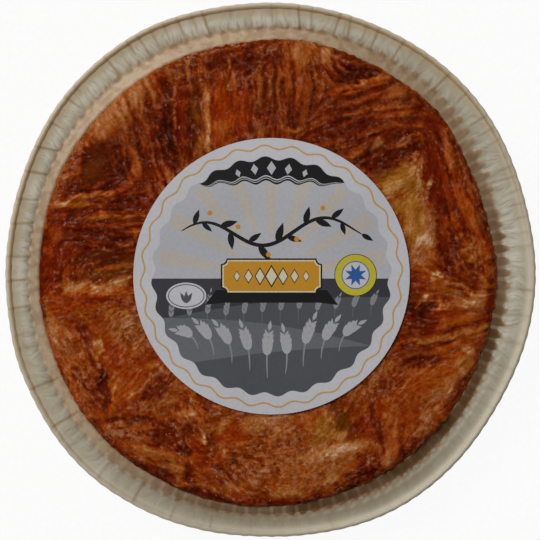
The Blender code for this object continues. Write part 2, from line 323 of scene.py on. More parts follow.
def greaseproof_paper(look):
    """Greaseproof paper, pressed into flutes and baked: matt and cream, and thin enough to let light through,
    with a brown scorch in some creases and fine creases between them, and with painted highlights on the
    folds, painted shade lines and the cake's painted shadow in its colour."""
    made, tree = new_material("greaseproof_paper_pressed")
    add = partial(add_node, tree)
    place = add("TexCoord", out="Object")
    x, y, _ = add("SeparateXYZ", place, out=None)
    bearing = add("Math ARCTAN2", y, x)
    # Reach is the radius in mm before the case's outline was bent out of round
    reach, fold, soak_and_shade, browned_shaded, crease = (
        add("Attribute", out="Fac", attribute_name=name)
        for name in ("reach", "fold", "soak_and_shade", "browned_shaded", "crease")
    )
    fibre, blotch, sway, patch, mottle, speckle = (
        add("TexNoise", {"Vector": place, "Scale": scale, "Detail": detail, "Roughness": 0.6}) for scale,
        detail in ((900.0, 4.0), (50.0, 3.0), (70.0, 1.0), (45.0, 1.0), (260.0, 4.0), (130.0, 2.0))
    )
    # Fine creases between the flutes, 1 to 3 mm apart, drawn out along the radius and leaning to and fro
    across = product(add, add("Math SUBTRACT", reach, 108.0), add("Math SUBTRACT", sway, 0.5), 3.4)
    spoke = add(
        "CombineXYZ", add("Math MULTIPLY_ADD", bearing, 110.0, across), add("Math MULTIPLY", reach, 0.16)
    )
    fine, pleat = (
        add("TexNoise", {"Vector": spoke, "Scale": scale, "Detail": detail, "Roughness": 0.6}) for scale,
        detail in ((0.85, 2.0), (0.3, 1.0))
    )
    tone = add("Math MULTIPLY_ADD", fibre, 0.2, add("Math MULTIPLY", blotch, 0.45))
    tone = add("Math MULTIPLY_ADD", pleat, 0.35, tone)
    paper = add(
        "ValToRGB", tone,
        stops=[(0.36, look.paper_shade), (0.5, look.paper_colour), (0.62, look.paper_light)]
    )
    # Which side of the case it is, for painted light and shade: away from the light, at the lower right in
    # the cake's shadow, and facing the light
    back, south, sunny = (
        product(add, (add("Math COSINE", add("Math SUBTRACT", bearing, middle)), *eased)) for middle,
        *eased in ((2.0, -0.7, 0.6, 0.0, 1.0), (-0.72, 0.9, 0.995, 1.0, 0.3), (-0.35, -0.2, 0.8, 0.4, 1.0))
    )
    pillow = product(add, (reach, 106.4, 107.8, 0.0, 1.0), (reach, 110.0, 112.6, 1.0, 0.0))
    # Below the shoulder the paper took up butter, overlaid on the lower right with the cake's painted shadow
    # in teeth between lit folds
    uneven = product(add, (patch, 0.35, 0.6, 0.45, 1.0))
    jag = add("Math MINIMUM", add("Math MULTIPLY", soak_and_shade, 1.8), 1.0)
    tooth = product(add, (fold, -0.9, 0.8, -0.9, 0.9), south, jag)
    drawn_in = add("Math MULTIPLY", add("Math COSINE", add("Math MULTIPLY", bearing, 2.0)), 0.6)
    ragged = add("Math MULTIPLY", add("Math SUBTRACT", pleat, 0.5), 3.0)
    ragged = add("Math ADD", drawn_in, add("Math MULTIPLY_ADD", tooth, uneven, ragged))
    ragged = add("Math ADD", reach, ragged)
    below_shoulder = product(add, (ragged, 105.4, 107.4, 1.0, 0.0))
    between = add("Math SUBTRACT", 1.0, product(add, (fold, 0.2, 0.95, 0.0, 0.36), south, uneven))
    soaked_shaded = product(add, soak_and_shade, between, below_shoulder, (blotch, 0.3, 0.7, 0.85, 1.1))
    buttered = layered(add, linear(look.wall_colour), [(look.arch_mottle_and_shade_colour, (mottle, 0.44, 0.6, 0.0, 0.6))])
    front = product(add, add("Math SUBTRACT", 1.0, add("Math MULTIPLY", back, 0.9)), sunny)
    coloured = layered(add, paper, [
        # Painted highlights and sheen on the pressed folds where they turn over the shoulder, and darker fine
        # lines between
        (look.glint_white, pillow, (pleat, 0.4, 0.62, 0.1, 0.6)),
        (look.glint_white, pillow, (fine, 0.53, 0.61, 0.0, 1.0), (pleat, 0.35, 0.6, 0.3, 1.0)),
        (look.browned_and_shade_colour, (fine, 0.38, 0.46, 0.42, 0.0), (reach, 111.0, 113.5, 1.0, 0.3)),
        (look.browned_and_shade_colour, browned_shaded, (reach, 109.0, 113.5, 1.0, 0.5)),
        # Painted shade on the outer flange on the side away from the light
        (look.shade_line_colour, (reach, 110.5, 114.0, 0.0, 0.4), back),
        # The wall with its butter and the cake's painted shadow, and a painted shade line along the fold
        # under the shoulder
        (buttered, below_shoulder),
        (look.soaked_shade_colour, soaked_shaded),
        (
            look.arch_mottle_and_shade_colour, (ragged, 103.8, 106.2, 0.0, 0.85), (ragged, 106.4, 107.6, 1.0, 0.0),
            (speckle, 0.4, 0.6, 0.2, 1.0), (fold, -0.5, 0.8, 1.0, 0.3), (back, 0.2, 0.8, 0.25, 1.0)
        ),
        # The rolled edge is paler than the flange, with painted light on its side facing the light, painted
        # shade on its outer lip there, and a painted shade line along its inner side away from the light
        (look.bead_colour, (reach, 112.2, 114.6, 0.0, 0.9), front),
        (look.bead_colour, (reach, 115.7, 116.4, 0.0, 0.9)),
        (look.browned_and_shade_colour, (reach, 115.7, 116.5, 0.0, 0.65), front),
        (
            look.shade_line_colour, (reach, 114.5, 115.2, 0.0, 1.0), (reach, 115.3, 116.0, 1.0, 0.0), back,
            (blotch, 0.35, 0.6, 0.5, 0.85)
        ),
        (look.scorch_colour, crease, (back, 0.0, 0.7, 0.7, 0.8)),
    ])
    relief = add("Math MULTIPLY_ADD", fine, 0.5, add("Math MULTIPLY_ADD", fibre, 0.18, pleat))
    normal = add("Bump", {"Strength": 0.6, "Distance": 0.0004, "Height": relief})
    sheet = add(
        "BsdfPrincipled",
        {
            "Base Color": coloured, "Roughness": add("Math MULTIPLY_ADD", fibre, 0.2, 0.4), "IOR": 1.45,
            "Specular IOR Level": 0.35, "Coat Weight": 0.3, "Coat Roughness": 0.28, "Normal": normal
        }
    )
    lit = layered(add, linear(look.lit_through), [(look.soaked_shade_colour, soaked_shaded)])
    through = add("BsdfTranslucent", {"Color": lit, "Normal": normal})
    add("OutputMaterial", add("MixShader", 0.2, sheet, through), out=None)
    return made


# ---------------------------------------------------------------- the dough's crust, as fields on a grid

CELL = 0.45  # mm between the grid's places
HALF = 104.4
AXIS = np.arange(-HALF, HALF + CELL / 2, CELL)
SIDE = len(AXIS)
X, Y = np.meshgrid(AXIS, AXIS)

CAKE_RADIUS = 100.9
CROWN_HEIGHT = 30.1
EDGE_HEIGHT = 25.6
CROWN_POWER = 5.0
# Bearing, spread in degrees, how far the cake's outline stands out or in
CAKE_LOBES = [
    (248, 30, 1.6), (20, 13, -3.0), (350, 18, -1.0), (42, 8, 0.7), (82, 7, 0.7), (98, 8, -0.5),
    (130, 26, -0.5), (172, 10, -0.7), (230, 15, 1.4), (263, 12, 1.6), (292, 14, 1.2), (312, 10, 0.7)
]

# Which way the strands of dough run, and how stringy it is: x, y, degrees, from 0 crumbly to 1 stringy
STRANDS = [
    (-65, 70, -65, 0.6), (-52, 61, -75, 0.7), (-45, 79, -70, 0.7), (-56, 48, -75, 0.7), (-69, 28, 12, 0.7),
    (-68, 21, 3, 1.0), (-73, 31, 15, 0.5), (-78, 13, 0, 0.5), (-87, 2, 80, 0.2), (-91, -13, 20, 0.1),
    (-63, -9, 10, 0.1), (-65, -26, 45, 0.1), (-80, -30, -55, 0.2), (-84, -52, -60, 0.3),
    (-76, -65, -50, 0.3), (-63, -70, -5, 0.2), (-52, -83, -12, 0.6), (-65, -44, 50, 0.1),
    (-52, -50, 45, 0.2), (-34, -70, -60, 0.2), (-21, -74, 20, 0.1), (-12, -91, -35, 0.2), (1, -78, 0, 0.0),
    (22, -70, 60, 0.1), (33, -83, 30, 0.0), (44, -87, 30, 0.2), (53, -76, 80, 0.5), (44, -61, 75, 0.2),
    (57, -57, 60, 0.2), (70, -50, 20, 0.3), (81, -54, 50, 0.4), (88, -41, 40, 0.4), (75, -33, 15, 0.7),
    (83, -26, 15, 1.0), (88, -20, 12, 0.9), (75, -17, 5, 0.3), (79, -9, -20, 0.3), (88, 7, -70, 0.4),
    (81, 24, -70, 0.7), (78, 42, -75, 0.7), (75, 57, -50, 0.6), (62, 70, -15, 0.8), (49, 79, 22, 1.0),
    (36, 70, 22, 1.0), (27, 63, 18, 0.7), (53, 63, 20, 0.7), (57, 52, 25, 0.4), (55, 37, 20, 0.1),
    (62, 22, 70, 0.1), (70, 39, 85, 0.3), (16, 81, 90, 0.7), (10, 76, 90, 1.0), (1, 76, 88, 1.0),
    (-10, 79, 95, 0.3), (-17, 65, 80, 0.2), (-27, 65, 85, 0.2), (-34, 70, 95, 0.2), (-40, 61, 90, 0.6),
    (25, 92, -60, 0.6), (38, 87, 0, 0.3), (-8, 96, 10, 0.2)
]

# What a baked patch is like: bake (0 burnt, 1 pale), glassy red, butter, sugar grains, gloss, calm (1 smooth)
TONES = {
    "char": (0.12, 0.3, 0.0, 0.1, 0.7, 0.4),
    "pool": (0.24, 0.1, 0.3, 0.0, 0.4, 0.7),
    "dark": (0.23, 0.5, 0.0, 0.1, 0.65, 0.3),
    "red": (0.33, 1.0, 0.0, 0.0, 0.75, 0.65),
    "rust": (0.46, 1.0, 0.0, 0.0, 0.5, 0.6),
    "chestnut": (0.38, 0.2, 0.0, 0.2, 0.5, 0.2),
    "amber": (0.53, 0.85, 0.1, 0.0, 0.5, 0.6),
    "orange": (0.62, 0.7, 0.0, 0.1, 0.45, 0.3),
    "olive": (0.40, 0.1, 1.0, 0.0, 0.4, 0.8),
    "honey": (0.65, 0.2, 1.0, 0.1, 0.4, 0.5),
    "gold": (0.74, 0.1, 0.4, 0.2, 0.4, 0.3),
    "butter": (0.86, 0.0, 0.7, 0.1, 0.3, 0.5),
    "pink": (0.70, 0.0, 0.0, 0.6, 0.5, 0.0),
    "tan": (0.80, 0.1, 0.1, 0.3, 0.4, 0.3),
    "sugar": (0.52, 0.2, 0.0, 1.0, 0.6, 0.0),
    "cream": (0.95, 0.0, 0.2, 0.2, 0.2, 0.4),
}

# Soft patches, the broad ones first: x, y, length, width, direction in degrees, rise in mm, tone, strength
PATCHES = [
    (-62, 52, 60, 40, 50, 0, "dark", 0.45), (45, 68, 76, 30, -34, 0, "chestnut", 0.5),
    (-80, 10, 34, 30, 0, 0, "dark", 0.4), (76, 28, 70, 22, 95, 0, "red", 0.4),
    (70, -48, 66, 34, 50, 0, "orange", 0.55), (12, -82, 90, 34, 0, 0, "orange", 0.55),
    (-62, -50, 62, 36, -50, 0, "amber", 0.55), (-58, 36, 42, 16, 78, 0, "dark", 0.5),
    (-36, 60, 24, 12, 90, 0, "dark", 0.4), (2, 65, 40, 12, 0, 0, "dark", 0.35),
    (30, 60, 30, 13, 15, 0, "dark", 0.5), (-8, 92, 38, 15, 0, 0, "dark", 0.45),
    (-95, 5, 40, 10, 88, 0, "red", 0.55), (-61, -30, 26, 16, 60, 0, "pink", 0.7),
    (46, -46, 28, 13, 45, 0, "pink", 0.65), (4, -67, 34, 12, 0, 0, "pink", 0.6),
    (15, -84, 40, 18, 8, 0, "pink", 0.65), (70, -58, 30, 10, 50, 0, "pink", 0.4),
    (-87, 22, 20, 18, 90, 0, "red", 0.6), (-72, 20, 18, 8, 0, 0, "dark", 0.6),
    (-84, 35, 10, 7, 0, 0, "dark", 0.8), (22, 63, 16, 8, 20, 0, "dark", 0.4),
    (0, 91, 12, 9, 0, 0, "dark", 0.3), (-64, 42, 14, 11, 80, 0, "dark", 0.9),
    (-56, 49, 9, 6, -75, 0, "dark", 0.45), (-63, 28, 12, 5, 10, -0.1, "dark", 0.55),
    (-70, 20.5, 12, 4, 5, -0.1, "dark", 0.55), (-42, 77, 8, 9, -70, -0.1, "dark", 0.5),
    (-21, 63, 9, 8, 0, 0, "tan", 0.35), (-22, 91, 18, 10, 10, 0, "dark", 0.35),
    (18, 70, 24, 16, 80, 0, "chestnut", 0.5), (36, 70, 16, 12, 20, 0, "dark", 0.35),
    (-9, 77, 8, 12, 90, 0, "dark", 0.35), (48, -63, 12, 10, 60, 0, "red", 0.4),
    (-78, -50, 14, 8, -70, 0, "chestnut", 0.4), (-70, -13, 16, 8, 0, 0, "chestnut", 0.4),
    (-63, 1, 14, 8, 0, 0, "olive", 0.4), (80, -21, 12, 7, 0, 0, "red", 0.4),
    (85, 6, 12, 10, 90, 0, "dark", 0.4), (82, 47, 34, 6, -66, 0.2, "pink", 0.45),
    # upper left
    (-88, 47, 36, 8, 66, 0.3, "pink", 0.75), (-88, 46, 34, 8, 66, 0, "sugar", 0.5),
    (-81.5, 46, 22, 3.4, 66, -0.1, "red", 0.75), (-74, 47, 22, 15, 60, -1.4, "pool", 0.95),
    (-77, 44, 9, 7, 60, 0, "olive", 0.5), (-68, 43, 8, 6, 60, 0, "char", 0.4),
    (-69, 57, 12, 6, -60, 0, "chestnut", 0.6), (-69, 67, 26, 13, 45, 0.3, "tan", 0.95),
    (-58, 81, 30, 12, 38, 0.3, "tan", 0.85), (-50, 84, 14, 8, 20, 0.2, "tan", 0.7),
    (-49, 77, 12, 7, -60, 0, "pink", 0.5), (-63, 69, 14, 9, -70, 0.2, "tan", 0.75),
    (-58, 56, 24, 12, -70, 0, "chestnut", 0.6), (-50, 56, 20, 8, -75, 0, "dark", 0.5),
    (-44, 64, 32, 8, -84, -0.5, "char", 0.85), (-46, 81, 16, 8, -70, -0.1, "dark", 0.7),
    (-38, 66, 30, 5, 88, 0.2, "red", 0.8), (-32, 70, 26, 5, 88, -0.4, "olive", 0.8),
    (-34, 60, 14, 5, 88, -0.4, "dark", 0.7), (-29.5, 55, 8, 4, 88, -0.2, "honey", 0.6),
    (-32, 77, 10, 4, 90, -0.3, "dark", 0.6), (-26.5, 68, 26, 4, 92, 0.5, "gold", 0.8),
    (-26, 66, 22, 2.4, 92, 0.2, "cream", 0.45), (-57, 44, 9, 3.4, -80, 0.4, "gold", 0.6),
    (-82, 29, 8, 4, 10, 0.1, "honey", 0.9), (-90, 29, 7, 3, 20, 0.4, "cream", 0.6),
    # left
    (-90, 21, 10, 8, 80, -0.2, "red", 0.8), (-93, 15, 7, 6, 85, 0.2, "orange", 0.95),
    (-84, 22, 10, 6, 10, 0, "dark", 0.8), (-72, 14, 24, 7, 0, -0.4, "dark", 0.8),
    (-70, 6, 22, 8, 0, -0.6, "pool", 0.85), (-90, 7, 12, 8, 85, -0.1, "red", 0.75),
    (-97, -1, 22, 8, 90, -0.2, "red", 0.75), (-61, 1, 6, 4, 60, 0.2, "olive", 0.6),
    (-70, -2, 16, 4, 0, -0.2, "olive", 0.6), (-76, -9.5, 34, 6, 4, 0.5, "orange", 1),
    (-74, -7, 26, 2, 4, 0.1, "honey", 0.4), (-84, 0, 9, 5, 0, 0.1, "orange", 0.45),
    (-82, -14, 22, 7, 5, 0, "rust", 0.7), (-90, -20, 16, 10, -70, 0.1, "rust", 0.6),
    (-83, -19, 4, 3, 0, 0.2, "butter", 0.7),
    # lower left
    (-94, -27, 18, 6, -75, 0.2, "tan", 0.75), (-88, -32, 20, 9, -65, 0.1, "pink", 0.5),
    (-82, -25, 14, 4.5, -60, -0.9, "dark", 0.9), (-74, -27, 14, 8, 20, 0.1, "amber", 0.7),
    (-61, -27, 20, 14, 40, 0.1, "pink", 0.75), (-61, -27, 18, 12, 40, 0, "sugar", 0.45),
    (-69, -32, 12, 8, 0, 0.1, "rust", 0.7), (-74.5, -33, 4, 6, 20, 0.3, "tan", 0.8),
    (-64, -20, 10, 6, 10, 0.2, "pink", 0.75), (-64, -39, 22, 11, 10, 0.1, "rust", 0.7),
    (-62, -49, 18, 13, 60, 0.2, "orange", 0.8), (-63, -50, 12, 6, 70, 0, "rust", 0.5),
    (-50, -53, 16, 7, 30, 0, "dark", 0.65), (-45, -57, 12, 4, 15, 0.3, "gold", 0.5),
    (-89, -42, 16, 4, -65, 0.2, "orange", 0.85), (-84, -53, 14, 4, -62, 0.2, "orange", 0.7),
    (-79, -48, 16, 8, -70, 0, "sugar", 0.6), (-71, -52, 22, 4, -80, -0.9, "dark", 0.85),
    (-66, -55, 14, 5, 80, 0.3, "orange", 0.7), (-60, -60, 18, 7, -20, 0.1, "rust", 0.6),
    (-72, -64, 12, 6, -60, 0.3, "amber", 0.6), (-62, -71, 24, 7, -3, 0.4, "sugar", 0.85),
    (-50, -61, 20, 6, -5, 0.1, "sugar", 0.5), (-44, -71, 17, 9, -10, -0.4, "dark", 0.75),
    (-42, -69, 7, 4, 0, 0, "char", 0.4), (-36, -62.5, 10, 3, 5, 0.4, "cream", 0.5),
    (-28, -66, 8, 8, 80, 0.2, "orange", 0.6), (-50, -79.5, 28, 5, -12, 0.5, "orange", 0.85),
    (-52, -79, 16, 2.4, -12, 0.2, "gold", 0.6), (-41, -86, 12, 4, -60, 0.4, "gold", 0.55),
    (-52, -88, 26, 4, -26, -0.3, "dark", 0.85), (-36, -78.5, 7, 5, -20, -1, "dark", 0.95),
    (-34.5, -87, 4, 5, 0, -0.4, "dark", 0.8),
    # bottom
    (-23, -72, 14, 9, 50, 0.2, "orange", 0.6), (-27, -78, 13, 8, 60, -0.2, "dark", 0.7),
    (-15, -71, 13, 9, 20, 0.2, "rust", 0.8), (-19, -67, 8, 4, 45, 0.3, "gold", 0.7),
    (-5, -67, 12, 6, 0, 0.1, "tan", 0.5), (-30, -82, 14, 6, 85, 0.2, "rust", 0.7),
    (-24, -85, 18, 4, 42, 0.3, "rust", 0.85), (-12, -88, 24, 11, 0, 0.1, "sugar", 0.6),
    (-14, -94, 10, 4, 20, 0.3, "gold", 0.65), (-28, -98, 30, 4, -12, -0.2, "dark", 0.6),
    (5, -101, 56, 4, 2, -0.2, "red", 0.6), (4, -75, 20, 12, 0, 0, "sugar", 0.5),
    (12, -66, 12, 6, 20, 0, "red", 0.5), (10, -84, 14, 10, 30, 0, "rust", 0.5),
    (3, -89, 8, 6, 0, -0.2, "red", 0.35), (8, -96.5, 14, 5, 8, 0.3, "gold", 0.8),
    (18, -87, 15, 12, 30, 0.1, "orange", 0.5), (24, -69, 16, 10, 60, 0.3, "honey", 0.75),
    (21, -63, 9, 6, 30, 0, "rust", 0.35), (4, -64.5, 28, 6, 0, 0.1, "cream", 0.4),
    (10, -83, 26, 8, 10, 0.1, "pink", 0.5), (20, -82, 9, 7, 0, 0.2, "tan", 0.75),
    (33, -78, 20, 6, 12, 0.3, "cream", 0.85), (36, -82, 18, 9, 30, 0.2, "tan", 0.65),
    (27.5, -91, 8, 6, 60, 0.2, "butter", 0.65), (32, -66, 10, 6, -50, -0.4, "olive", 0.9),
    (31, -72, 6, 4, 20, 0.2, "butter", 0.9), (35.5, -74, 5, 2.6, 0, 0, "olive", 0.6),
    (42, -76, 9, 7, 40, 0.1, "pink", 0.55), (28, -84, 10, 9, 30, 0.1, "tan", 0.4),
    (14, -91, 12, 7, 0, 0, "pink", 0.4), (43, -67, 14, 9, 60, -0.1, "red", 0.6),
    (43, -84, 15, 9, 50, -0.2, "dark", 0.8), (40, -91, 22, 5, 28, -0.6, "char", 0.85),
    # lower right
    (55.5, -75, 14, 4, 84, 0.4, "orange", 0.95), (52, -83, 8, 4, 80, 0.3, "tan", 0.65),
    (61, -78, 12, 4, 50, -0.2, "dark", 0.5), (53, -60, 16, 7, 85, 0.1, "orange", 0.5),
    (62, -63, 14, 10, 60, 0, "rust", 0.5), (52, -48, 20, 12, 45, 0, "chestnut", 0.6),
    (42, -49, 12, 9, 45, 0, "pink", 0.45), (56, -42, 9, 8, 20, 0.1, "orange", 0.4),
    (64, -36, 20, 11, 10, 0, "chestnut", 0.7), (68, -40, 16, 5, 0, -0.2, "dark", 0.7),
    (60, -28, 12, 8, 0, 0, "dark", 0.5), (67, -20, 17, 12, 0, -0.5, "dark", 0.85),
    (66, -17, 10, 5, 0, -0.2, "char", 0.6), (66, -4, 13, 13, 0, 0.2, "amber", 0.85),
    (76, -6, 11, 7, -30, 0.2, "orange", 0.8), (80, -10, 12, 4, -20, 0.1, "honey", 0.5),
    (92, -13, 7, 8, 0, 0.2, "gold", 0.75), (97, -14, 14, 4, 90, -0.1, "red", 0.7),
    (80, -19, 14, 6, -10, 0, "rust", 0.8), (76, -26, 20, 5, 10, 0, "red", 0.6),
    (86, -33, 7, 3, 20, 0.2, "gold", 0.6), (85, -41, 18, 9, 42, 0.3, "orange", 0.85),
    (85, -41, 12, 5, 42, 0.1, "gold", 0.65), (75, -47, 16, 11, 40, 0.1, "orange", 0.9),
    (65, -52, 12, 7, 10, 0.1, "amber", 0.9), (76, -55, 22, 4, 54, 0.3, "tan", 0.8),
    (82, -56, 22, 4, 50, -0.3, "rust", 0.7), (70, -66, 14, 6, 48, 0.2, "pink", 0.6),
    # right
    (74, 30, 56, 8, 97, -0.4, "dark", 0.65), (78, 38, 14, 5, 97, 0.1, "rust", 0.7),
    (72, 45, 26, 8, 95, -0.2, "red", 0.75), (77, 17, 14, 5, 100, 0.1, "orange", 0.4),
    (71, 29, 10, 5, 95, 0, "rust", 0.35), (77.5, 50, 20, 3.4, -80, 0.3, "orange", 0.75),
    (88, 24, 32, 5.5, -60, 0.5, "orange", 0.8), (91, 20, 30, 4, -72, 0.3, "orange", 0.65),
    (87, 8, 10, 7, -60, 0.2, "tan", 0.45), (82, 11, 10, 5, 80, -0.2, "dark", 0.7),
    (89, 0, 14, 7, 0, 0, "dark", 0.45), (57, 40, 19, 10, 28, 0.4, "honey", 1),
    (60, 31, 18, 14, 75, 0.4, "honey", 1), (64.5, 20, 20, 12, 85, 0.4, "honey", 1),
    (55, 36.5, 10, 5, 20, 0.2, "butter", 0.8), (62.5, 44, 9, 3.4, 62, 0.1, "gold", 0.8),
    (50, 43.5, 14, 5, 30, -0.1, "olive", 0.9), (58, 33, 10, 3.4, 20, 0.1, "orange", 0.7),
    (61, 20, 7, 6, 60, 0.2, "butter", 0.8), (70, 20, 13, 6, 80, 0.1, "tan", 0.6),
    (69, 13, 9, 7, 50, 0.3, "cream", 0.95), (67, 6, 12, 9, 0, 0.1, "tan", 0.6),
    # upper right
    (52, 48.5, 27, 7.5, 20, -0.5, "dark", 1), (42, 49, 10, 5, 35, -0.3, "char", 0.6),
    (48, 55.5, 7, 2.6, 55, 0.4, "pink", 0.9), (58, 54, 4.5, 2, 45, 0.3, "cream", 0.6),
    (34, 61, 20, 7, 15, -0.1, "dark", 0.6), (55, 61, 24, 5, 12, -0.1, "dark", 0.6),
    (72, 63, 12, 9, -50, 0, "red", 0.7), (55, 67.5, 16, 3, 12, 0.4, "orange", 0.65),
    (54, 79, 11, 7, -10, 0.2, "gold", 0.55), (38, 86, 20, 7, 5, -1, "dark", 1),
    (37, 85.5, 15, 5, 5, 0, "char", 0.75), (26.5, 89, 14, 5, 95, 0.2, "orange", 0.55),
    (49, 77, 10, 6, 15, 0, "dark", 0.35), (57, 57, 9, 5, 20, 0, "dark", 0.35),
    (35, 56, 10, 5, 20, 0, "dark", 0.4), (36, 93, 15, 5, -25, 0.1, "chestnut", 0.7),
    (22, 68, 14, 9, 30, -0.1, "chestnut", 0.6),
    # top
    (25, 94, 9, 8, 80, 0.4, "tan", 0.8), (14, 93, 12, 10, 90, 0.4, "tan", 0.6),
    (12, 97, 6, 5, 90, 0.2, "tan", 0.7), (18, 98.5, 10, 4, 0, 0.2, "tan", 0.6),
    (15, 81, 18, 7, 92, 0.3, "orange", 0.5), (11, 61, 8, 2.4, 5, 0.3, "gold", 0.7),
    (2, 77, 26, 10, 90, 0, "chestnut", 0.6), (-1, 96, 10, 7, 0, 0, "sugar", 0.6),
    (-21, 92.5, 13, 7, 10, -0.6, "pool", 0.9), (-10, 91, 16, 5, 80, -0.3, "dark", 0.85),
    (-21, 93, 12, 6, 15, 0, "red", 0.6), (-32, 93, 22, 6, 20, 0.2, "sugar", 0.75),
    (-14, 85, 8, 7, 0, 0.2, "orange", 0.5), (-21, 69, 27, 9, 88, 0.4, "rust", 0.95),
    (-13, 68, 20, 11, 80, 0.3, "rust", 0.8), (-16, 80, 5, 4, 0, 0.2, "pink", 0.6),
    # Small corrections, laid over the rest
    (-85, -6, 9, 4, 8, 0.2, "gold", 0.6), (-64, -5, 8, 4, 30, 0.2, "butter", 0.6),
    (-84, 7, 9, 6, 20, 0.1, "amber", 0.4), (42, -77, 9, 6, 30, 0.1, "tan", 0.35),
    (70, 28, 9, 6, 95, 0, "dark", 0.3), (-62, -28, 14, 10, 30, 0.1, "tan", 0.25),
    (-63, 42, 10, 8, 80, -0.1, "char", 0.3), (-84, 42.5, 8, 3, 66, 0.1, "pink", 0.5),
    (-85, 36, 9, 5, 30, 0, "dark", 0.4), (-56, 49, 9, 6, -75, 0, "dark", 0.4),
    (-63, 28, 10, 6, 10, 0, "dark", 0.45), (-49, 77, 7, 5, -60, 0.1, "tan", 0.35),
    (63, -7, 12, 8, 0, 0, "dark", 0.35), (35, 63, 9, 6, 15, 0.1, "chestnut", 0.5),
    (28, 74, 8, 11, 20, 0, "dark", 0.4), (28, 84, 6, 6, 90, 0.1, "orange", 0.4),
    (14, 84, 8, 8, 90, 0, "dark", 0.3), (-14, 84, 9, 8, 80, 0, "dark", 0.35),
    (0, 91, 8, 7, 90, 0, "dark", 0.35), (84, -21, 8, 5, 0, 0.1, "tan", 0.3),
    (14, 92, 8, 7, 90, 0.1, "tan", 0.35), (35, -77, 9, 5, 12, 0.1, "cream", 0.3),
    (-42, -70, 8, 7, 0, 0, "sugar", 0.5), (-70, -35, 9, 6, 0, 0, "red", 0.35),
    (-63, 21, 9, 5, 5, 0, "tan", 0.2), (-56, 35, 8, 7, 60, 0, "chestnut", 0.35),
    (-21, 62, 8, 7, 0, 0.1, "tan", 0.35), (91, 21, 6, 9, 100, 0.1, "gold", 0.3),
    (-92, -7, 7, 6, 80, 0, "dark", 0.4), (-7, -69, 9, 7, 0, 0.1, "gold", 0.3),
    (7, -70, 9, 7, 0, 0.1, "tan", 0.3), (-77, -14, 9, 5, 0, 0, "red", 0.35),
    (-70, 46, 9, 8, 60, 0, "chestnut", 0.35), (21, -76, 8, 6, 30, 0.1, "gold", 0.35),
    (70, 56, 8, 7, -60, 0, "chestnut", 0.35), (70, 21, 6, 6, 80, 0.1, "tan", 0.3),
    (62, 22, 8, 8, 80, 0, "amber", 0.2), (49, -43, 9, 7, 45, 0, "pink", 0.4),
    (-78, 35, 9, 5, 30, 0, "dark", 0.4), (85, -42, 8, 6, 42, 0.1, "gold", 0.3),
    (-63, -42, 9, 6, 10, 0, "red", 0.35), (-77, -49, 7, 6, -70, 0, "dark", 0.3),
    (71, -21, 7, 6, 0, 0, "rust", 0.4), (-84, -21, 8, 5, -60, 0.1, "orange", 0.35),
    (14, -84, 8, 7, 30, 0, "tan", 0.25), (-7, 91, 7, 7, 80, 0, "dark", 0.3),
    (-84, -28, 9, 5, -60, 0, "rust", 0.5), (49, -78, 6, 7, 80, 0.1, "tan", 0.35),
    (-70, 63, 9, 7, 45, 0, "amber", 0.25), (-63, 0, 8, 5, 0, 0, "chestnut", 0.3),
    (-42, -77, 9, 5, -10, -0.1, "dark", 0.5), (-50, -76, 9, 4, -10, 0, "dark", 0.4),
    (-56, -35, 8, 7, 30, 0.1, "pink", 0.35), (-84, -7, 7, 4, 8, 0.1, "butter", 0.35),
    (-12, 85, 9, 10, 80, 0, "dark", 0.3), (-91, 14, 7, 14, 85, 0, "pool", 0.3),
    (-61, -28, 11, 8, 30, 0.1, "sugar", 0.4), (70, 20, 7, 6, 80, 0.1, "cream", 0.25),
    (-62, -28, 12, 9, 30, 0.1, "pink", 0.4), (-84, 35, 7, 5, 30, 0, "dark", 0.5),
    (25, -70, 8, 12, 60, 0.1, "honey", 0.5), (31, -73, 5, 4, 20, 0.1, "gold", 0.5),
    (35, -83, 16, 7, 30, 0.1, "amber", 0.4), (-70, -14, 8, 6, 0, 0, "red", 0.3),
    (49, 63, 9, 5, 12, 0, "dark", 0.4),
]

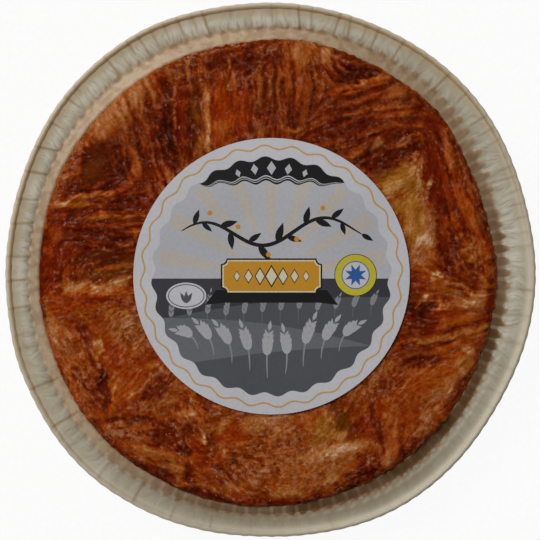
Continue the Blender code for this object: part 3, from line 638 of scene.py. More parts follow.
# Ridges, creases and strands laid one by one: width, rise in mm, tone, strength, then the x and y along it
LINES = [
    # upper left
    (2.8, 0.9, "orange", 0.7, -88, 29, -78, 30, -68, 33, -60, 38, -57, 46),
    (2.2, 0.3, "tan", 0.8, -86, 31.5, -78, 32.5, -69, 34),
    (1.4, 0.3, "cream", 0.8, -92, 28.5, -89, 29.5, -86.5, 31),
    (1.2, -0.5, "dark", 0.6, -86, 30, -70, 31.5, -58, 35),
    (2.4, 0.4, "gold", 0.6, -67, 74, -62, 60, -58, 49), (2.4, 0.4, "gold", 0.5, -59, 80, -54, 64, -51, 48),
    (2.2, 0.4, "orange", 0.5, -51, 85, -48, 76, -47, 66),
    (1.4, -0.5, "dark", 0.6, -63, 78, -57, 62, -54, 47),
    (1.4, -0.5, "dark", 0.6, -55, 83, -50, 66, -48, 46),
    (1, 0.3, "pink", 0.75, -40.6, 80, -40.6, 70, -40.8, 62),
    (1.2, -0.6, "dark", 0.7, -40, 60, -39.5, 52, -39, 45),
    (1.6, 0.3, "cream", 0.8, -26, 62, -26.5, 56, -25.5, 52),
    (1.2, -0.3, "rust", 0.8, -25, 80, -24, 68, -23.5, 56),
    (1.2, -0.4, "dark", 0.6, -92, 33, -80, 35, -68, 37),
    # left
    (1.6, 0.5, "gold", 0.6, -82, 22.5, -68, 23, -54, 24.5),
    (1.6, -0.4, "dark", 0.7, -84, 26, -70, 27.5, -56, 30),
    (1.4, 0.3, "orange", 0.5, -80, 19, -68, 19.3, -56, 20),
    (1, 0.3, "orange", 0.5, -80, 24.3, -68, 25, -56, 27),
    (0.9, 0.2, "pink", 0.8, -77, 8.8, -74, 9.6, -69, 9), (1.2, 0.2, "tan", 0.5, -93, -7, -90, -6, -88, -9),
    (1.5, 0.4, "cream", 0.85, -88, -9, -86, -7, -83, -6.5, -80, -5.5, -78, -5.5, -75, -8),
    (1.5, 0.4, "cream", 0.8, -75, -8, -69, -8.5, -68.5, -5.5, -65, -4, -60, -3),
    (1.6, -0.2, "char", 0.7, -100, 6, -100, -9, -98, -20),
    # lower left
    (1.6, -0.8, "char", 0.85, -70, -65.5, -62, -66, -50, -65),
    (1.2, 0.4, "pink", 0.75, -57, -52, -52, -47, -46, -42),
    (1, 0.3, "tan", 0.7, -68, -57, -67, -53, -66, -50),
    (1.4, -0.4, "dark", 0.6, -80, -33, -76, -41, -72, -48),
    (1.2, 0.5, "pink", 0.9, -82.5, -50.5, -81, -47, -78, -46.5),
    (1.3, 0.3, "cream", 0.8, -66.5, -54, -66, -51, -65, -50),
    (1.1, 0.3, "cream", 0.7, -60, -54, -56, -52.5), (1.2, 0.4, "pink", 0.8, -80, -31, -77, -36, -73, -42),
    (1, 0.5, "cream", 0.8, -76.5, -32.5, -73, -31.5, -72.5, -35, -75, -36.5),
    (1.2, 0.3, "pink", 0.7, -72, -68, -66, -66.8, -58, -67.2),
    (1.4, 0.5, "cream", 1, -30, -69, -28.4, -72, -27.6, -75.5),
    (2, 0.4, "gold", 0.9, -27.5, -71, -23.5, -69), (1.3, 0.3, "cream", 0.8, -20.5, -80, -19, -78),
    (1.4, -0.4, "dark", 0.6, -64, -83, -52, -85, -42, -90),
    # bottom
    (1.8, -0.7, "dark", 0.85, -22, -86, -17, -89, -13, -94),
    (1.4, -0.6, "dark", 0.8, -15, -80.5, -9, -81.5, -2, -84),
    (1.2, 0.4, "orange", 0.6, -30, -90, -24, -85, -18, -80),
    (1.2, -0.5, "dark", 0.6, 20, -88, 24, -90, 26, -94),
    (1.4, -0.5, "dark", 0.7, 45, -60, 48, -70, 50, -80),
    (1.2, 0.4, "tan", 0.5, 50.5, -62, 52, -70, 52.5, -80),
    (1.4, -0.5, "dark", 0.7, 59, -68, 58, -76, 59, -82),
    (0.9, 0.3, "pink", 0.9, 46.8, -76, 46.4, -80, 43, -84, 43.6, -87),
    (0.8, 0.3, "pink", 0.8, 32, -95, 37, -92, 42, -90),
    # lower right
    (2.6, 0.6, "gold", 0.85, 66, -32, 80, -29, 96, -24.5),
    (2, 0.4, "orange", 0.7, 72, -36, 84, -33.5, 95, -28.5),
    (1, -0.5, "dark", 0.7, 62, -34, 78, -31, 95, -26.7),
    (1.2, -0.4, "dark", 0.5, 64, -39, 78, -36.5, 92, -32),
    (2, 0.3, "orange", 0.85, 75, -24.5, 82, -23.5, 88, -20.5),
    (1.2, -0.4, "dark", 0.6, 78, -27, 86, -25, 95, -21),
    (0.9, 0.4, "pink", 0.8, 77, -57, 82, -52.5, 86, -49),
    (0.9, 0.3, "pink", 0.7, 70, -42.3, 75, -41.2, 80, -39.6),
    (1, 0.3, "cream", 0.8, 64, -15.5, 66.5, -13.2, 74, -13.4),
    (1.5, 0.4, "cream", 1, 68.5, -11.5, 70.5, -10.8),
    (1, 0.3, "cream", 0.8, 74.6, -14.5, 74.3, -17.5, 72, -19),
    (1.6, 0.5, "tan", 0.9, 78, -5, 85, -7, 90, -11, 91.5, -14),
    (2.6, 0.5, "tan", 0.8, 76, -15, 83, -14.5, 90, -14), (2.6, 0.3, "cream", 0.8, 86, -14.5, 89, -13.5),
    (1.4, -0.4, "dark", 0.5, 70, -60, 78, -56, 86, -47), (2.6, 0.7, "cream", 1, 86.5, -34, 88.5, -34.4),
    # right
    (1.7, 0.5, "cream", 1, 71.5, -3.6, 73.4, -0.6, 75.6, -2.4),
    (1.3, 0.5, "gold", 0.8, 83, 3, 87, 4.5, 90, 2.5, 93, 4),
    (1.3, 0.5, "tan", 0.8, 85, 9, 89, 11.5, 92, 8, 88, 6),
    (1.3, 0.5, "gold", 0.7, 82, 14, 86, 15.5, 90, 13),
    (1.4, -0.6, "dark", 0.8, 73, 62, 77, 46, 81, 30, 86, 16),
    (1.3, -0.5, "dark", 0.7, 79, 60, 84, 44, 89, 28, 94, 14),
    (2.8, 0.3, "pink", 0.9, 65, 49, 65.5, 42, 66.5, 34, 70, 24, 71.5, 13),
    (1, 0.3, "cream", 0.8, 65.6, 44, 65.8, 39, 66.4, 35), (1.3, 0.4, "cream", 1, 69, 36, 71.5, 38.5),
    (1, 0.3, "cream", 0.6, 80, 50, 79.5, 44),
    (1.6, 0.4, "cream", 0.9, 63.5, 9, 65, 11.5, 69, 14, 70.5, 10.5),
    (1.6, 0.3, "gold", 0.6, 76, 60, 77.5, 54, 79, 50),
    # upper right
    (2.8, 0.8, "orange", 0.85, 29, 76, 41, 80.5, 53, 85.5),
    (1, 0.3, "pink", 0.8, 38, 81, 44, 83.4, 50, 86.3), (1.4, -0.5, "dark", 0.8, 28, 73.5, 42, 77.5, 56, 82),
    (1.8, 0.4, "orange", 0.6, 30, 70, 46, 75, 60, 79), (1.2, -0.5, "dark", 0.7, 26, 68, 44, 73, 62, 75),
    (1.4, 0.4, "gold", 0.7, 34, 67, 48, 70.5, 58, 72), (1.1, -0.5, "dark", 0.7, 30, 64, 48, 68.5, 66, 70.5),
    (1.1, -0.5, "dark", 0.7, 33, 61, 50, 65.5, 70, 66.5),
    (1.6, 0.4, "orange", 0.5, 40, 59, 54, 62.5, 68, 63), (1.4, 0.3, "orange", 0.5, 22, 76, 32, 79, 36, 81),
    # top
    (2.6, -1, "dark", 0.85, 9.5, 90, 9.5, 78, 10.5, 63), (1.8, 0.5, "orange", 0.7, 7.5, 99, 8, 90, 8, 74),
    (2, 0.5, "orange", 0.6, 12, 92, 12.5, 84, 13, 74), (1.2, -0.4, "dark", 0.5, 22, 98, 23, 90, 22, 80),
    (1.4, -0.5, "dark", 0.7, 29.5, 98, 29, 92, 28, 84), (0.9, 0.3, "pink", 0.6, 1, 92, 1, 78, 1, 62),
    (1.1, 0.3, "gold", 0.4, -4, 88, -3.5, 74, -3, 60), (1.1, 0.3, "gold", 0.5, 4.5, 90, 4.5, 76, 5, 61),
    (1.5, 0.4, "tan", 0.8, -17, 93, -16, 88, -14.5, 81), (0.9, 0.3, "gold", 0.6, -2, 90, -6, 85, -10, 83),
    (0.9, -0.4, "dark", 0.7, -1.5, 90, -1, 76, -1, 61), (0.9, -0.4, "dark", 0.7, 3, 90, 2.8, 75, 3, 61),
    (1, -0.4, "dark", 0.7, 6.5, 88, 6.3, 75, 7, 62),
]


def lumps(seed, size):
    """Random relief whose lumps are about size mm wide, with a mean of 0 and a deviation of 1."""
    white = np.random.default_rng(seed).standard_normal(X.shape)
    steps = np.fft.fftfreq(SIDE, CELL)
    pace = np.hypot(steps[:, None], steps[None, :]) * 2 * size
    made = np.real(np.fft.ifft2(np.fft.fft2(white) * pace**2 * np.exp(-(pace**2))))
    return made / made.std()


def soften(field, size):
    """The field with what is finer than size mm taken out."""
    steps = np.fft.fftfreq(SIDE, CELL)
    pace = np.hypot(steps[:, None], steps[None, :]) * 2 * size
    return np.real(np.fft.ifft2(np.fft.fft2(field) * np.exp(-(pace**2))))


def strand_paths(reach):
    """The strand through each place, as places in the grid up to reach mm each way, which way it runs in
    radians, and how stringy the dough is there."""
    across = along = stringy = total = 0
    for x, y, direction, share in STRANDS:
        weight = 1 / ((X - x) ** 2 + (Y - y) ** 2 + 20) ** 1.6
        along = along + weight * math.cos(math.radians(2 * direction))
        across = across + weight * math.sin(math.radians(2 * direction))
        stringy = stringy + weight * share
        total = total + weight
    bearing = np.arctan2(across, along) / 2 + 0.16 * lumps(3, 9)
    head_x, head_y = np.cos(bearing), np.sin(bearing)
    rows, columns = np.indices(X.shape).astype(float)
    paths = []
    for way in (1, -1):
        row, column = rows.copy(), columns.copy()
        step_x, step_y = way * head_x, way * head_y
        path = []
        for _ in range(int(reach / CELL)):
            column = np.clip(column + step_x, 0, SIDE - 1)
            row = np.clip(row + step_y, 0, SIDE - 1)
            place = np.rint(row).astype(int) * SIDE + np.rint(column).astype(int)
            path.append(place)
            next_x, next_y = head_x.ravel()[place], head_y.ravel()[place]
            same = np.where(next_x * step_x + next_y * step_y < 0, -1, 1)
            step_x, step_y = next_x * same, next_y * same
        paths.append(path)
    return paths, bearing, stringy / total


def comb(field, paths, reach):
    """The field drawn out along the strands, with a deviation of 1."""
    flat = field.ravel()
    total = field.copy()
    count = int(reach / CELL)
    for path in paths:
        for step, place in enumerate(path[:count]):
            total += flat[place] * (1 - ((step + 1) / (count + 1)) ** 2)
    total -= total.mean()
    return total / total.std()


def read_field(field, x, y):
    """The field's value at places between the grid's, by straight blending."""
    column = np.clip((np.asarray(x) + HALF) / CELL, 0, SIDE - 1.001)
    row = np.clip((np.asarray(y) + HALF) / CELL, 0, SIDE - 1.001)
    c, r = column.astype(int), row.astype(int)
    u, v = column - c, row - r
    low = field[r, c] * (1 - u) + field[r, c + 1] * u
    high = field[r + 1, c] * (1 - u) + field[r + 1, c + 1] * u
    return low * (1 - v) + high * v


def sculpt_crust():
    """The crust's relief in mm and what it is baked to, on the grid."""
    paths, bearing, stringy = strand_paths(16)
    fine = comb(lumps(21, 0.7), paths, 5)
    strand = comb(lumps(22, 1.1), paths, 11)
    rope = comb(lumps(23, 2.2), paths, 14)
    flake = comb(lumps(45, 1.6), paths, 2.5)
    grain = lumps(24, 0.7)
    knob = lumps(25, 1.3)
    lump = lumps(26, 4)
    swell = lumps(27, 12)
    warp_x = X + 0.4 * lumps(31, 7) + 0.12 * lumps(32, 2)
    warp_y = Y + 0.4 * lumps(33, 7) + 0.12 * lumps(34, 2)

    looks = {
        "bake": 0.46 + 0.05 * swell + 0.035 * lump + 0.045 * lumps(28, 6.5),
        "red": np.clip(0.3 + 0.22 * lumps(40, 9), 0, 1),
        "butter": np.clip(0.04 + 0.08 * lumps(42, 8), 0, 1),
        "sugar": np.clip(0.1 + 0.2 * lumps(41, 9), 0, 1), "gloss": 0.4 + 0.15 * lumps(43, 5),
        "calm": 0.1 + 0.1 * lumps(44, 8)
    }
    relief = 0.35 * swell

    def lay(mask, rise, tone, strength):
        nonlocal relief
        relief = relief + rise * mask
        for name, value in zip(looks, TONES[tone]):
            looks[name] = looks[name] + (value - looks[name]) * mask * strength

    # The patches' edges are ragged by the dough's own lumps
    ragged = 0.10 * rope + 0.08 * knob + 0.10 * lump
    for x, y, length, width, direction, rise, tone, strength in PATCHES:
        c, s = math.cos(math.radians(direction)), math.sin(math.radians(direction))
        along = ((warp_x - x) * c + (warp_y - y) * s) * 2 / length
        across = ((warp_y - y) * c - (warp_x - x) * s) * 2 / width
        away = np.hypot(along, across)
        lay(1 - ease(away + ragged * np.clip(away, 0, 1), 0.5, 1.5), rise, tone, strength)
    broken = 1 + 0.3 * knob + 0.3 * fine
    for width, rise, tone, strength, *path in LINES:
        places = list(zip(path[::2], path[1::2]))
        nearest = np.full(X.shape, np.inf)
        for (x0, y0), (x1, y1) in zip(places, places[1:]):
            run_x, run_y = x1 - x0, y1 - y0
            share = ((warp_x - x0) * run_x + (warp_y - y0) * run_y) / (run_x**2 + run_y**2)
            share = np.clip(share, 0, 1)
            away = np.hypot(warp_x - x0 - share * run_x, warp_y - y0 - share * run_y)
            nearest = np.minimum(nearest, away)
        mask = bump(nearest / (1.05 * width))
        lay(np.clip(mask * broken, 0, 1), rise * 0.6, tone, strength * 0.85)

    looks["lively"] = np.clip(1 - 0.8 * looks["calm"] - 0.5 * stringy, 0.08, 1)
    rough = 1 - 0.8 * np.clip(looks["calm"], 0, 1)
    sugary = np.clip(looks["sugar"], 0, 1)
    gap = np.clip(-strand - 0.7, 0, 1.5) + 0.8 * np.clip(-rope - 0.8, 0, 1.5)
    crest_glint = np.clip(strand - 0.9, 0, 1.5) + 0.7 * np.clip(fine - 1.1, 0, 1.5)
    crumb = np.abs(flake) - 0.8
    threads = stringy * (0.1 * rope + 0.07 * strand + 0.04 * fine - 0.12 * gap)
    crumbs = (1 - stringy) * (0.32 * crumb + 0.07 * grain + 0.07 * knob)
    relief = relief + rough * (threads + crumbs + 0.12 * lump)
    relief = relief + sugary * rough * (0.07 * knob + 0.04 * grain)
    hollow_shade = relief - soften(relief, 2.5)
    # Paler on raised parts and darker in the hollows and the gaps between strands: painted shade and
    # highlights over the dough's own streaks
    looks["bake"] = looks["bake"] + rough * (
        0.10 * np.clip(hollow_shade, -1, 1)
        + stringy * (0.048 * rope + 0.03 * strand + 0.015 * fine - 0.06 * gap + 0.05 * crest_glint)
        + (1 - stringy) * (
            0.08 * crumb + 0.03 * rope + 0.02 * strand + 0.035 * knob + 0.04 * grain + 0.03 * lump
        )
    )
    # Crumbly dough changes from buttery gold to dry sugar every few millimetres
    mottle = (1 - stringy) * rough * lumps(48, 3.5)
    looks["butter"] = looks["butter"] + 0.4 * np.clip(mottle - 0.4, 0, 1.2)
    looks["sugar"] = looks["sugar"] + 0.3 * np.clip(-mottle - 0.4, 0, 1.2)
    # Bits about 1 by 3 mm along the strands that stand up pale, partly as painted glints, in clusters
    proud = comb(lumps(46, 0.9), paths, 2.2)
    cluster = ease(lumps(47, 5) + 0.5 * sugary, 0.1, 1.4)
    looks["crest_glint"] = rough * cluster * ease(proud, 1.0, 2.0) * (1 - 0.6 * stringy)
    relief = relief + 0.12 * looks["crest_glint"]
    looks["lie_x"], looks["lie_y"] = np.cos(2 * bearing), np.sin(2 * bearing)
    looks["stringy"] = stringy
    return relief, looks


# ---------------------------------------------------------------- the crust as a mesh

CRUST_COLUMNS = 960
INNER_RINGS = [22.0, 42.0, 54.0]  # under the label
TOP_START = 56.2
TOP_RINGS = 78
# The rounded edge and the side, down to the bottom: radius, height
CRUST_SIDE = [
    (97.6, 26.15), (98.5, 25.65), (99.3, 25.0), (100.0, 24.2), (100.5, 23.3), (100.85, 22.2), (100.9, 20.8),
    (100.4, 18.4), (99.3, 14.8), (98.1, 11.0), (96.9, 7.2), (95.8, 3.8), (95.2, 2.0), (94.6, 1.2),
    (93.6, 0.8)
]


def crust_mesh(relief, looks):
    """The cake as one closed skin. Its rings follow the uneven outline and the relief lifts them outwards."""
    turn = np.arange(CRUST_COLUMNS) * math.tau / CRUST_COLUMNS
    bearing = np.degrees(turn)
    lobe = lobes_at(bearing, CAKE_LOBES)
    rim_noise = lumps(51, 2.2)
    edge_noise = read_field(rim_noise, 98 * np.cos(turn), 98 * np.sin(turn)) * 0.28
    tops = np.linspace(TOP_START, 96.8, TOP_RINGS)
    crown = [
        (r, CROWN_HEIGHT + (EDGE_HEIGHT - CROWN_HEIGHT) * (r / CAKE_RADIUS) ** CROWN_POWER)
        for r in [*INNER_RINGS, *tops]
    ]
    rings = crown + CRUST_SIDE
    radii = np.array([r for r, _ in rings])
    heights = np.array([z for _, z in rings])
    # Outward direction at each ring
    slope_r, slope_z = np.gradient(radii), np.gradient(heights)
    size = np.hypot(slope_r, slope_z)
    out_r, out_z = -slope_z / size, slope_r / size
    floor = CRUST_SIDE[-1][1]
    share = np.clip((heights - floor) / (EDGE_HEIGHT - floor), 0, 1)
    reach = radii[:, None] * (1 + share[:, None] * (lobe + edge_noise)[None, :] / CAKE_RADIUS)
    x = reach * np.cos(turn)
    y = reach * np.sin(turn)
    lift = read_field(relief, x, y)
    # The side is a stack of thin layers that stick out unevenly
    side = ease(radii, 0, 1)[:, None] * ease(-heights, -24.5, -21.5)[:, None]
    layers = np.sin(heights * 2.1)[:, None] * 0.35 + 0.25 * np.sin(turn * 37)[None, :] * side
    lift = lift * (1 - side) + layers * side
    lift = lift * ease(heights, floor, 3.0)[:, None]
    lift[:3] *= 0.3
    z = heights[:, None] + lift * out_z[:, None]
    grown = reach + lift * out_r[:, None]
    x, y = grown * np.cos(turn), grown * np.sin(turn)
    # Under the label and close round it the crust stays just below the card
    away = np.hypot(x - LABEL_MIDDLE.x, y - LABEL_MIDDLE.y)
    roof = LABEL_LOW.z / MM - 0.15 + 1.3 * ease(away, 61.0, 70.0)
    z = np.where(z > roof - 0.5, roof - 0.5 * np.exp(-(z - roof + 0.5) / 0.5), z)
    points = np.stack((x, y, z), axis=-1).reshape(-1, 3)
    top_middle = (0.0, 0.0, CROWN_HEIGHT)
    low_middle = (0.0, 0.0, floor)
    points = np.vstack((points, [top_middle, low_middle]))
    faces = []
    count = CRUST_COLUMNS
    last = (len(rings) - 1) * count
    for column in range(count):
        after = (column + 1) % count
        faces.append((len(points) - 2, column, after))
        faces.append((last + after, last + column, len(points) - 1))
        for ring in range(0, last, count):
            faces.append((ring + column, ring + count + column, ring + count + after, ring + after))
    made = mesh_from("crust", points, faces)
    depth = np.repeat(ease(heights, 4, 25.5), count)
    edge = np.repeat(ease(radii, 96.0, 100.5) * ease(heights, 20, 24), count)
    flank = np.repeat(ease(-heights, -24.4, -22.0) * ease(heights, 3, 12), count)
    for name, field in looks.items():
        values = read_field(field, points[:-2, 0], points[:-2, 1])
        if name == "bake":
            values = values * (0.6 + 0.4 * depth) - 0.04 * edge + 0.16 * flank
        keep_field(made, name, np.append(values, [values[0], values[-1]]))
    return made


# Where the crust's colours stand, burnt to pale
BAKE_STEPS = (0.05, 0.20, 0.35, 0.48, 0.61, 0.74, 0.86, 0.97)


def caramelised_dough(look):
    """Laminated butter dough, baked under caramelised sugar: a glassy brown skin over flaky strands, nearly
    black in the hollows and gold on the ridges, partly as painted shade and painted glints, with dull sugary
    grains where the sugar didn't melt."""
    made, tree = new_material("laminated_dough_caramelised")
    add = partial(add_node, tree)
    place = add("TexCoord", out="Object")
    bake, lively, stringy, lie_x, lie_y, red, butter, sugar, crest_glint, shine = (
        add("Attribute", out="Fac", attribute_name=name)
        for name in (
            "bake", "lively", "stringy", "lie_x", "lie_y", "red", "butter", "sugar", "crest_glint", "gloss"
        )
    )
    # Noises by the width of their lumps in mm
    grit, speck, cloud, cluster, spark = (
        add("TexNoise", {"Vector": place, "Scale": 0.5 / (size * MM), "Detail": detail, "Roughness": 0.55})
        for size, detail in ((0.5, 2.0), (1.1, 3.0), (3.0, 3.0), (3.4, 1.0), (0.9, 2.0))
    )
    for field, share in ((grit, 0.42), (speck, 0.3), (cloud, 0.2)):
        bake = add("Math ADD", bake, product(add, add("Math SUBTRACT", field, 0.5), share, lively))
    # Threads of dough run the way the strands lie: of four drawn-out noises the nearest two blend
    threads = 0.0
    for turn in (0, 45, 90, 135):
        angle = math.radians(turn)
        laid = add(
            "Mapping",
            {"Vector": place, "Rotation": (0.0, 0.0, angle), "Scale": (2.2 * MM, 0.8 * MM, 0.8 * MM)},
            vector_type="TEXTURE"
        )
        drawn = add("TexNoise", {"Vector": laid, "Scale": 0.5, "Detail": 2.0})
        facing = add("Math MULTIPLY", lie_x, round(math.cos(2 * angle)))
        facing = add("Math MULTIPLY_ADD", lie_y, round(math.sin(2 * angle)), facing)
        facing = add("Math MAXIMUM", facing, 0.0)
        threads = add("Math MULTIPLY_ADD", add("Math SUBTRACT", drawn, 0.5), facing, threads)
    loose = add("Math MULTIPLY_ADD", stringy, 0.48, 0.3)
    bake = add("Math ADD", bake, product(add, threads, loose, add("Math ADD", lively, 0.12)))
    # The tips of the threads are pale with dry sugar and painted glints, in clusters
    dots = add("Math MULTIPLY", add("Math SUBTRACT", speck, 0.5), 0.8)
    dots = add("Math MULTIPLY_ADD", threads, 0.6, dots)
    tips = product(add, (dots, 0.09, 0.17, 0.0, 1.0), (cluster, 0.44, 0.6, 0.1, 1.0), lively, lively)
    # The three kinds of crust, each from burnt to pale
    plain, glassy, buttery = (
        add("ValToRGB", bake, stops=list(zip(BAKE_STEPS, colours.split())))
        for colours in (
            "361000 521600 6E2402 8A3A0A A4521E BA6E3C D29064 F6C4A2",
            "3C0A00 5E0E00 821E00 A83600 C45200 D47210 E0944A F6CA96",
            "2E1200 4A2000 6A3404 864806 A66416 C48434 DCA862 F6D6A8"
        )
    )
    colour = layered(
        add, plain,
        [
            (glassy, red, 0.8), (buttery, butter, 0.9), (look.sugar, sugar, (speck, 0.48, 0.62, 0.0, 0.5)),
            (look.flake_edge_glint, add("Math MAXIMUM", tips, crest_glint), 0.72)
        ]
    )
    gloss = product(add, (shine, 0.35, 0.95, 0.03, 0.6))
    height = add("Math MULTIPLY_ADD", speck, 0.9, add("Math MULTIPLY", grit, 0.45))
    height = add("Math MULTIPLY_ADD", threads, 1.2, height)
    height = product(add, height, add("Math ADD", lively, 0.3))
    normal = add("Bump", {"Strength": 0.6, "Distance": 0.0005, "Height": height})
    # The sugar glass is thickest on the tips of the strands, so it glints in spots of about 1 mm
    shader = add(
        "BsdfPrincipled",
        {
            "Base Color": colour, "Roughness": add("Math MULTIPLY_ADD", gloss, -0.2, 0.62), "IOR": 1.45,
            "Specular IOR Level": 0.03, "Coat Weight": product(add, gloss, (spark, 0.57, 0.67, 0.0, 1.0)),
            "Coat Roughness": 0.15, "Coat IOR": 1.5, "Normal": normal, "Coat Normal": normal
        }
    )
    add("OutputMaterial", shader, out=None)
    return made


# ---------------------------------------------------------------- sugar grains and flakes on the crust


def scattered_tree(dress):
    """Geometry Nodes that scatter rough lumps of 20 faces over the crust where an attribute says so."""
    tree = geometry_tree(
        "Sugar crystals", "Grains", Crust="Geometry", Density="Float", Smallest="Vector", Largest="Vector",
        Sink="Float", Seed="Int"
    )
    add = partial(add_node, tree)
    given = add("NodeGroupInput", out=None)
    density = add(
        "Math MULTIPLY", add("GeometryNodeInputNamedAttribute", {"Name": "grains"}), given["Density"]
    )
    spread = add(
        "GeometryNodeDistributePointsOnFaces",
        {"Mesh": given["Crust"], "Density": density, "Seed": given["Seed"]}, out=None,
        distribute_method="RANDOM"
    )
    scale = add(
        "FunctionNodeRandomValue",
        {"Min": given["Smallest"], "Max": given["Largest"], "Seed": given["Seed"]}, data_type="FLOAT_VECTOR"
    )
    turn = add(
        "FunctionNodeRandomValue",
        {"Min": (0.0, 0.0, 0.0), "Max": (0.7, 0.7, math.tau), "Seed": given["Seed"]},
        data_type="FLOAT_VECTOR"
    )
    facing = add(
        "FunctionNodeRotateRotation",
        {"Rotation": spread["Rotation"], "Rotate By": add("FunctionNodeEulerToRotation", turn)},
        rotation_space="LOCAL"
    )
    sunk = add("VectorMath SCALE", {0: spread["Normal"], "Scale": given["Sink"]})
    points = add("GeometryNodeSetPosition", {"Geometry": spread["Points"], "Offset": sunk})
    put = add(
        "GeometryNodeInstanceOnPoints",
        {
            "Points": points,
            "Instance": add("GeometryNodeMeshIcoSphere", {"Radius": 1.0, "Subdivisions": 1}),
            "Rotation": facing, "Scale": scale
        }
    )
    real = add("GeometryNodeRealizeInstances", put)
    dressed = add("GeometryNodeSetMaterial", {"Geometry": real, "Material": dress})
    add("NodeGroupOutput", {"Grains": dressed}, out=None)
    return tree


def sugar_glass(look):
    """Sugar crystals, half melted: pale amber and glassy, clear enough to take the colour under them."""
    made, tree = new_material("sugar_crystals_half_melted")
    add = partial(add_node, tree)
    place = add("TexCoord", out="Object")
    tint = add("TexNoise", {"Vector": place, "Scale": 260.0, "Detail": 2.0})
    colour = add("ValToRGB", tint, stops=[(0.35, look.grain_dark), (0.65, look.grain_light)])
    rough = add("Math MULTIPLY", tint, 0.5)
    shader = add(
        "BsdfPrincipled",
        {"Base Color": colour, "Roughness": rough, "IOR": 1.5, "Coat Weight": 0.2, "Coat Roughness": 0.2}
    )
    add("OutputMaterial", shader, out=None)
    return made


# ---------------------------------------------------------------- the label

LABEL_RADIUS = 60.0
OUTLINE_STEPS = 240
WAVES = 28
WAVE_HEIGHT = 0.9


def circle(radius, count, x=0.0, y=0.0, squash=1.0):
    """A round or squashed outline."""
    turn = np.arange(count) * math.tau / count
    return np.stack((x + radius * np.cos(turn), y + radius * squash * np.sin(turn)), axis=1)


def wavy(radius):
    """A closed outline that waves in and out."""
    turn = np.arange(WAVES * 20) * math.tau / (WAVES * 20)
    reach = radius + WAVE_HEIGHT * np.sin(WAVES * turn)
    return np.stack((reach * np.cos(turn), reach * np.sin(turn)), axis=1)


def ribbon(places, width, ends=0.25):
    """The outline of a stroke along places, narrower at its ends."""
    places = np.asarray(places, dtype=float)
    run = np.gradient(places, axis=0)
    run /= np.linalg.norm(run, axis=1)[:, None]
    side = np.stack((-run[:, 1], run[:, 0]), axis=1)
    share = np.linspace(0, 1, len(places))
    half = width / 2 * (ends + (1 - ends) * np.sin(math.pi * share) ** 0.6)[:, None]
    return np.vstack((places + side * half, (places - side * half)[::-1]))


def arc(start, end, lift):
    """Places on a bowed line from start to end. Lift is how far its middle stands to the left."""
    start, end = np.asarray(start, dtype=float), np.asarray(end, dtype=float)
    share = np.linspace(0, 1, 24)[:, None]
    run = end - start
    side = np.array([-run[1], run[0]]) / np.linalg.norm(run)
    return start + run * share + side * lift * 4 * share * (1 - share)


def moved(outline, x, y, turn=0.0):
    """The outline turned about its middle, and its middle put at (x, y)."""
    c, s = math.cos(turn), math.sin(turn)
    return outline @ np.array([[c, s], [-s, c]]) + (x, y)


def kernel(x, y, direction, length, width):
    """A pointed grain with its foot at (x, y)."""
    share = np.linspace(0, 1, 7)
    half = width / 2 * np.sin(math.pi * share**0.8)
    top = np.stack((share * length, half), axis=1)
    low = np.stack((share * length, -half), axis=1)[::-1][1:-1]
    return moved(np.vstack((top, low)), x, y, direction)


def heading(line, place):
    """Which way a line runs at one of its places, in radians."""
    run = line[place + 1] - line[place] if place >= 0 else line[place] - line[place - 1]
    return math.atan2(run[1], run[0])


def wheat_ear(stalk, size, ink, stem_ink):
    """An ear on its stalk: seven pairs of grains along the last part of a bowed line."""
    parts = [(stem_ink, ribbon(stalk, size * 0.15))]
    count = len(stalk)
    for share in np.arange(7) / 7:
        low = int((0.5 + 0.5 * share) * (count - 2))
        length = size * (1 - 0.5 * abs(share - 0.3))
        for way in (1, -1):
            turn = heading(stalk, low) + way * 0.55
            parts.append((ink, kernel(*stalk[low], turn, length, length * 0.34)))
    parts.append((ink, kernel(*stalk[-1], heading(stalk, -1), size * 0.9, size * 0.32)))
    return parts


def below(outline, level, slant, bow):
    """The part of an outline under a line, which may slant and bow upwards."""
    x, y = outline[:, 0], outline[:, 1]
    side = y - level - slant * x - bow * np.cos(x / 50 * math.pi / 2)
    kept = []
    for i in range(len(outline)):
        j = (i + 1) % len(outline)
        if side[i] < 0:
            kept.append(outline[i])
        if (side[i] < 0) != (side[j] < 0):
            share = side[i] / (side[i] - side[j])
            kept.append(outline[i] + (outline[j] - outline[i]) * share)
    kept = np.array(kept)
    # The cut runs from the last kept place back to the first along the bowed line
    gaps = np.hypot(*(np.roll(kept, -1, axis=0) - kept).T)
    cut = int(np.argmax(gaps))
    start, end = kept[cut], kept[(cut + 1) % len(kept)]
    across = np.linspace(start[0], end[0], 30)[1:-1]
    line = np.stack((across, level + slant * across + bow * np.cos(across / 50 * math.pi / 2)), axis=1)
    return np.vstack((kept[: cut + 1], line, kept[cut + 1 :]))


def plaque(length, height):
    """An oblong with hollowed corners."""
    notch = height * 0.16
    corners = []
    for cx, cy, first in ((1, 1, 270), (-1, 1, 0), (-1, -1, 90), (1, -1, 180)):
        for turn in range(0, -91, -18):
            bearing = math.radians(first + turn)
            corners.append(
                (cx * length / 2 + notch * math.cos(bearing), cy * height / 2 + notch * math.sin(bearing))
            )
    return np.array(corners)


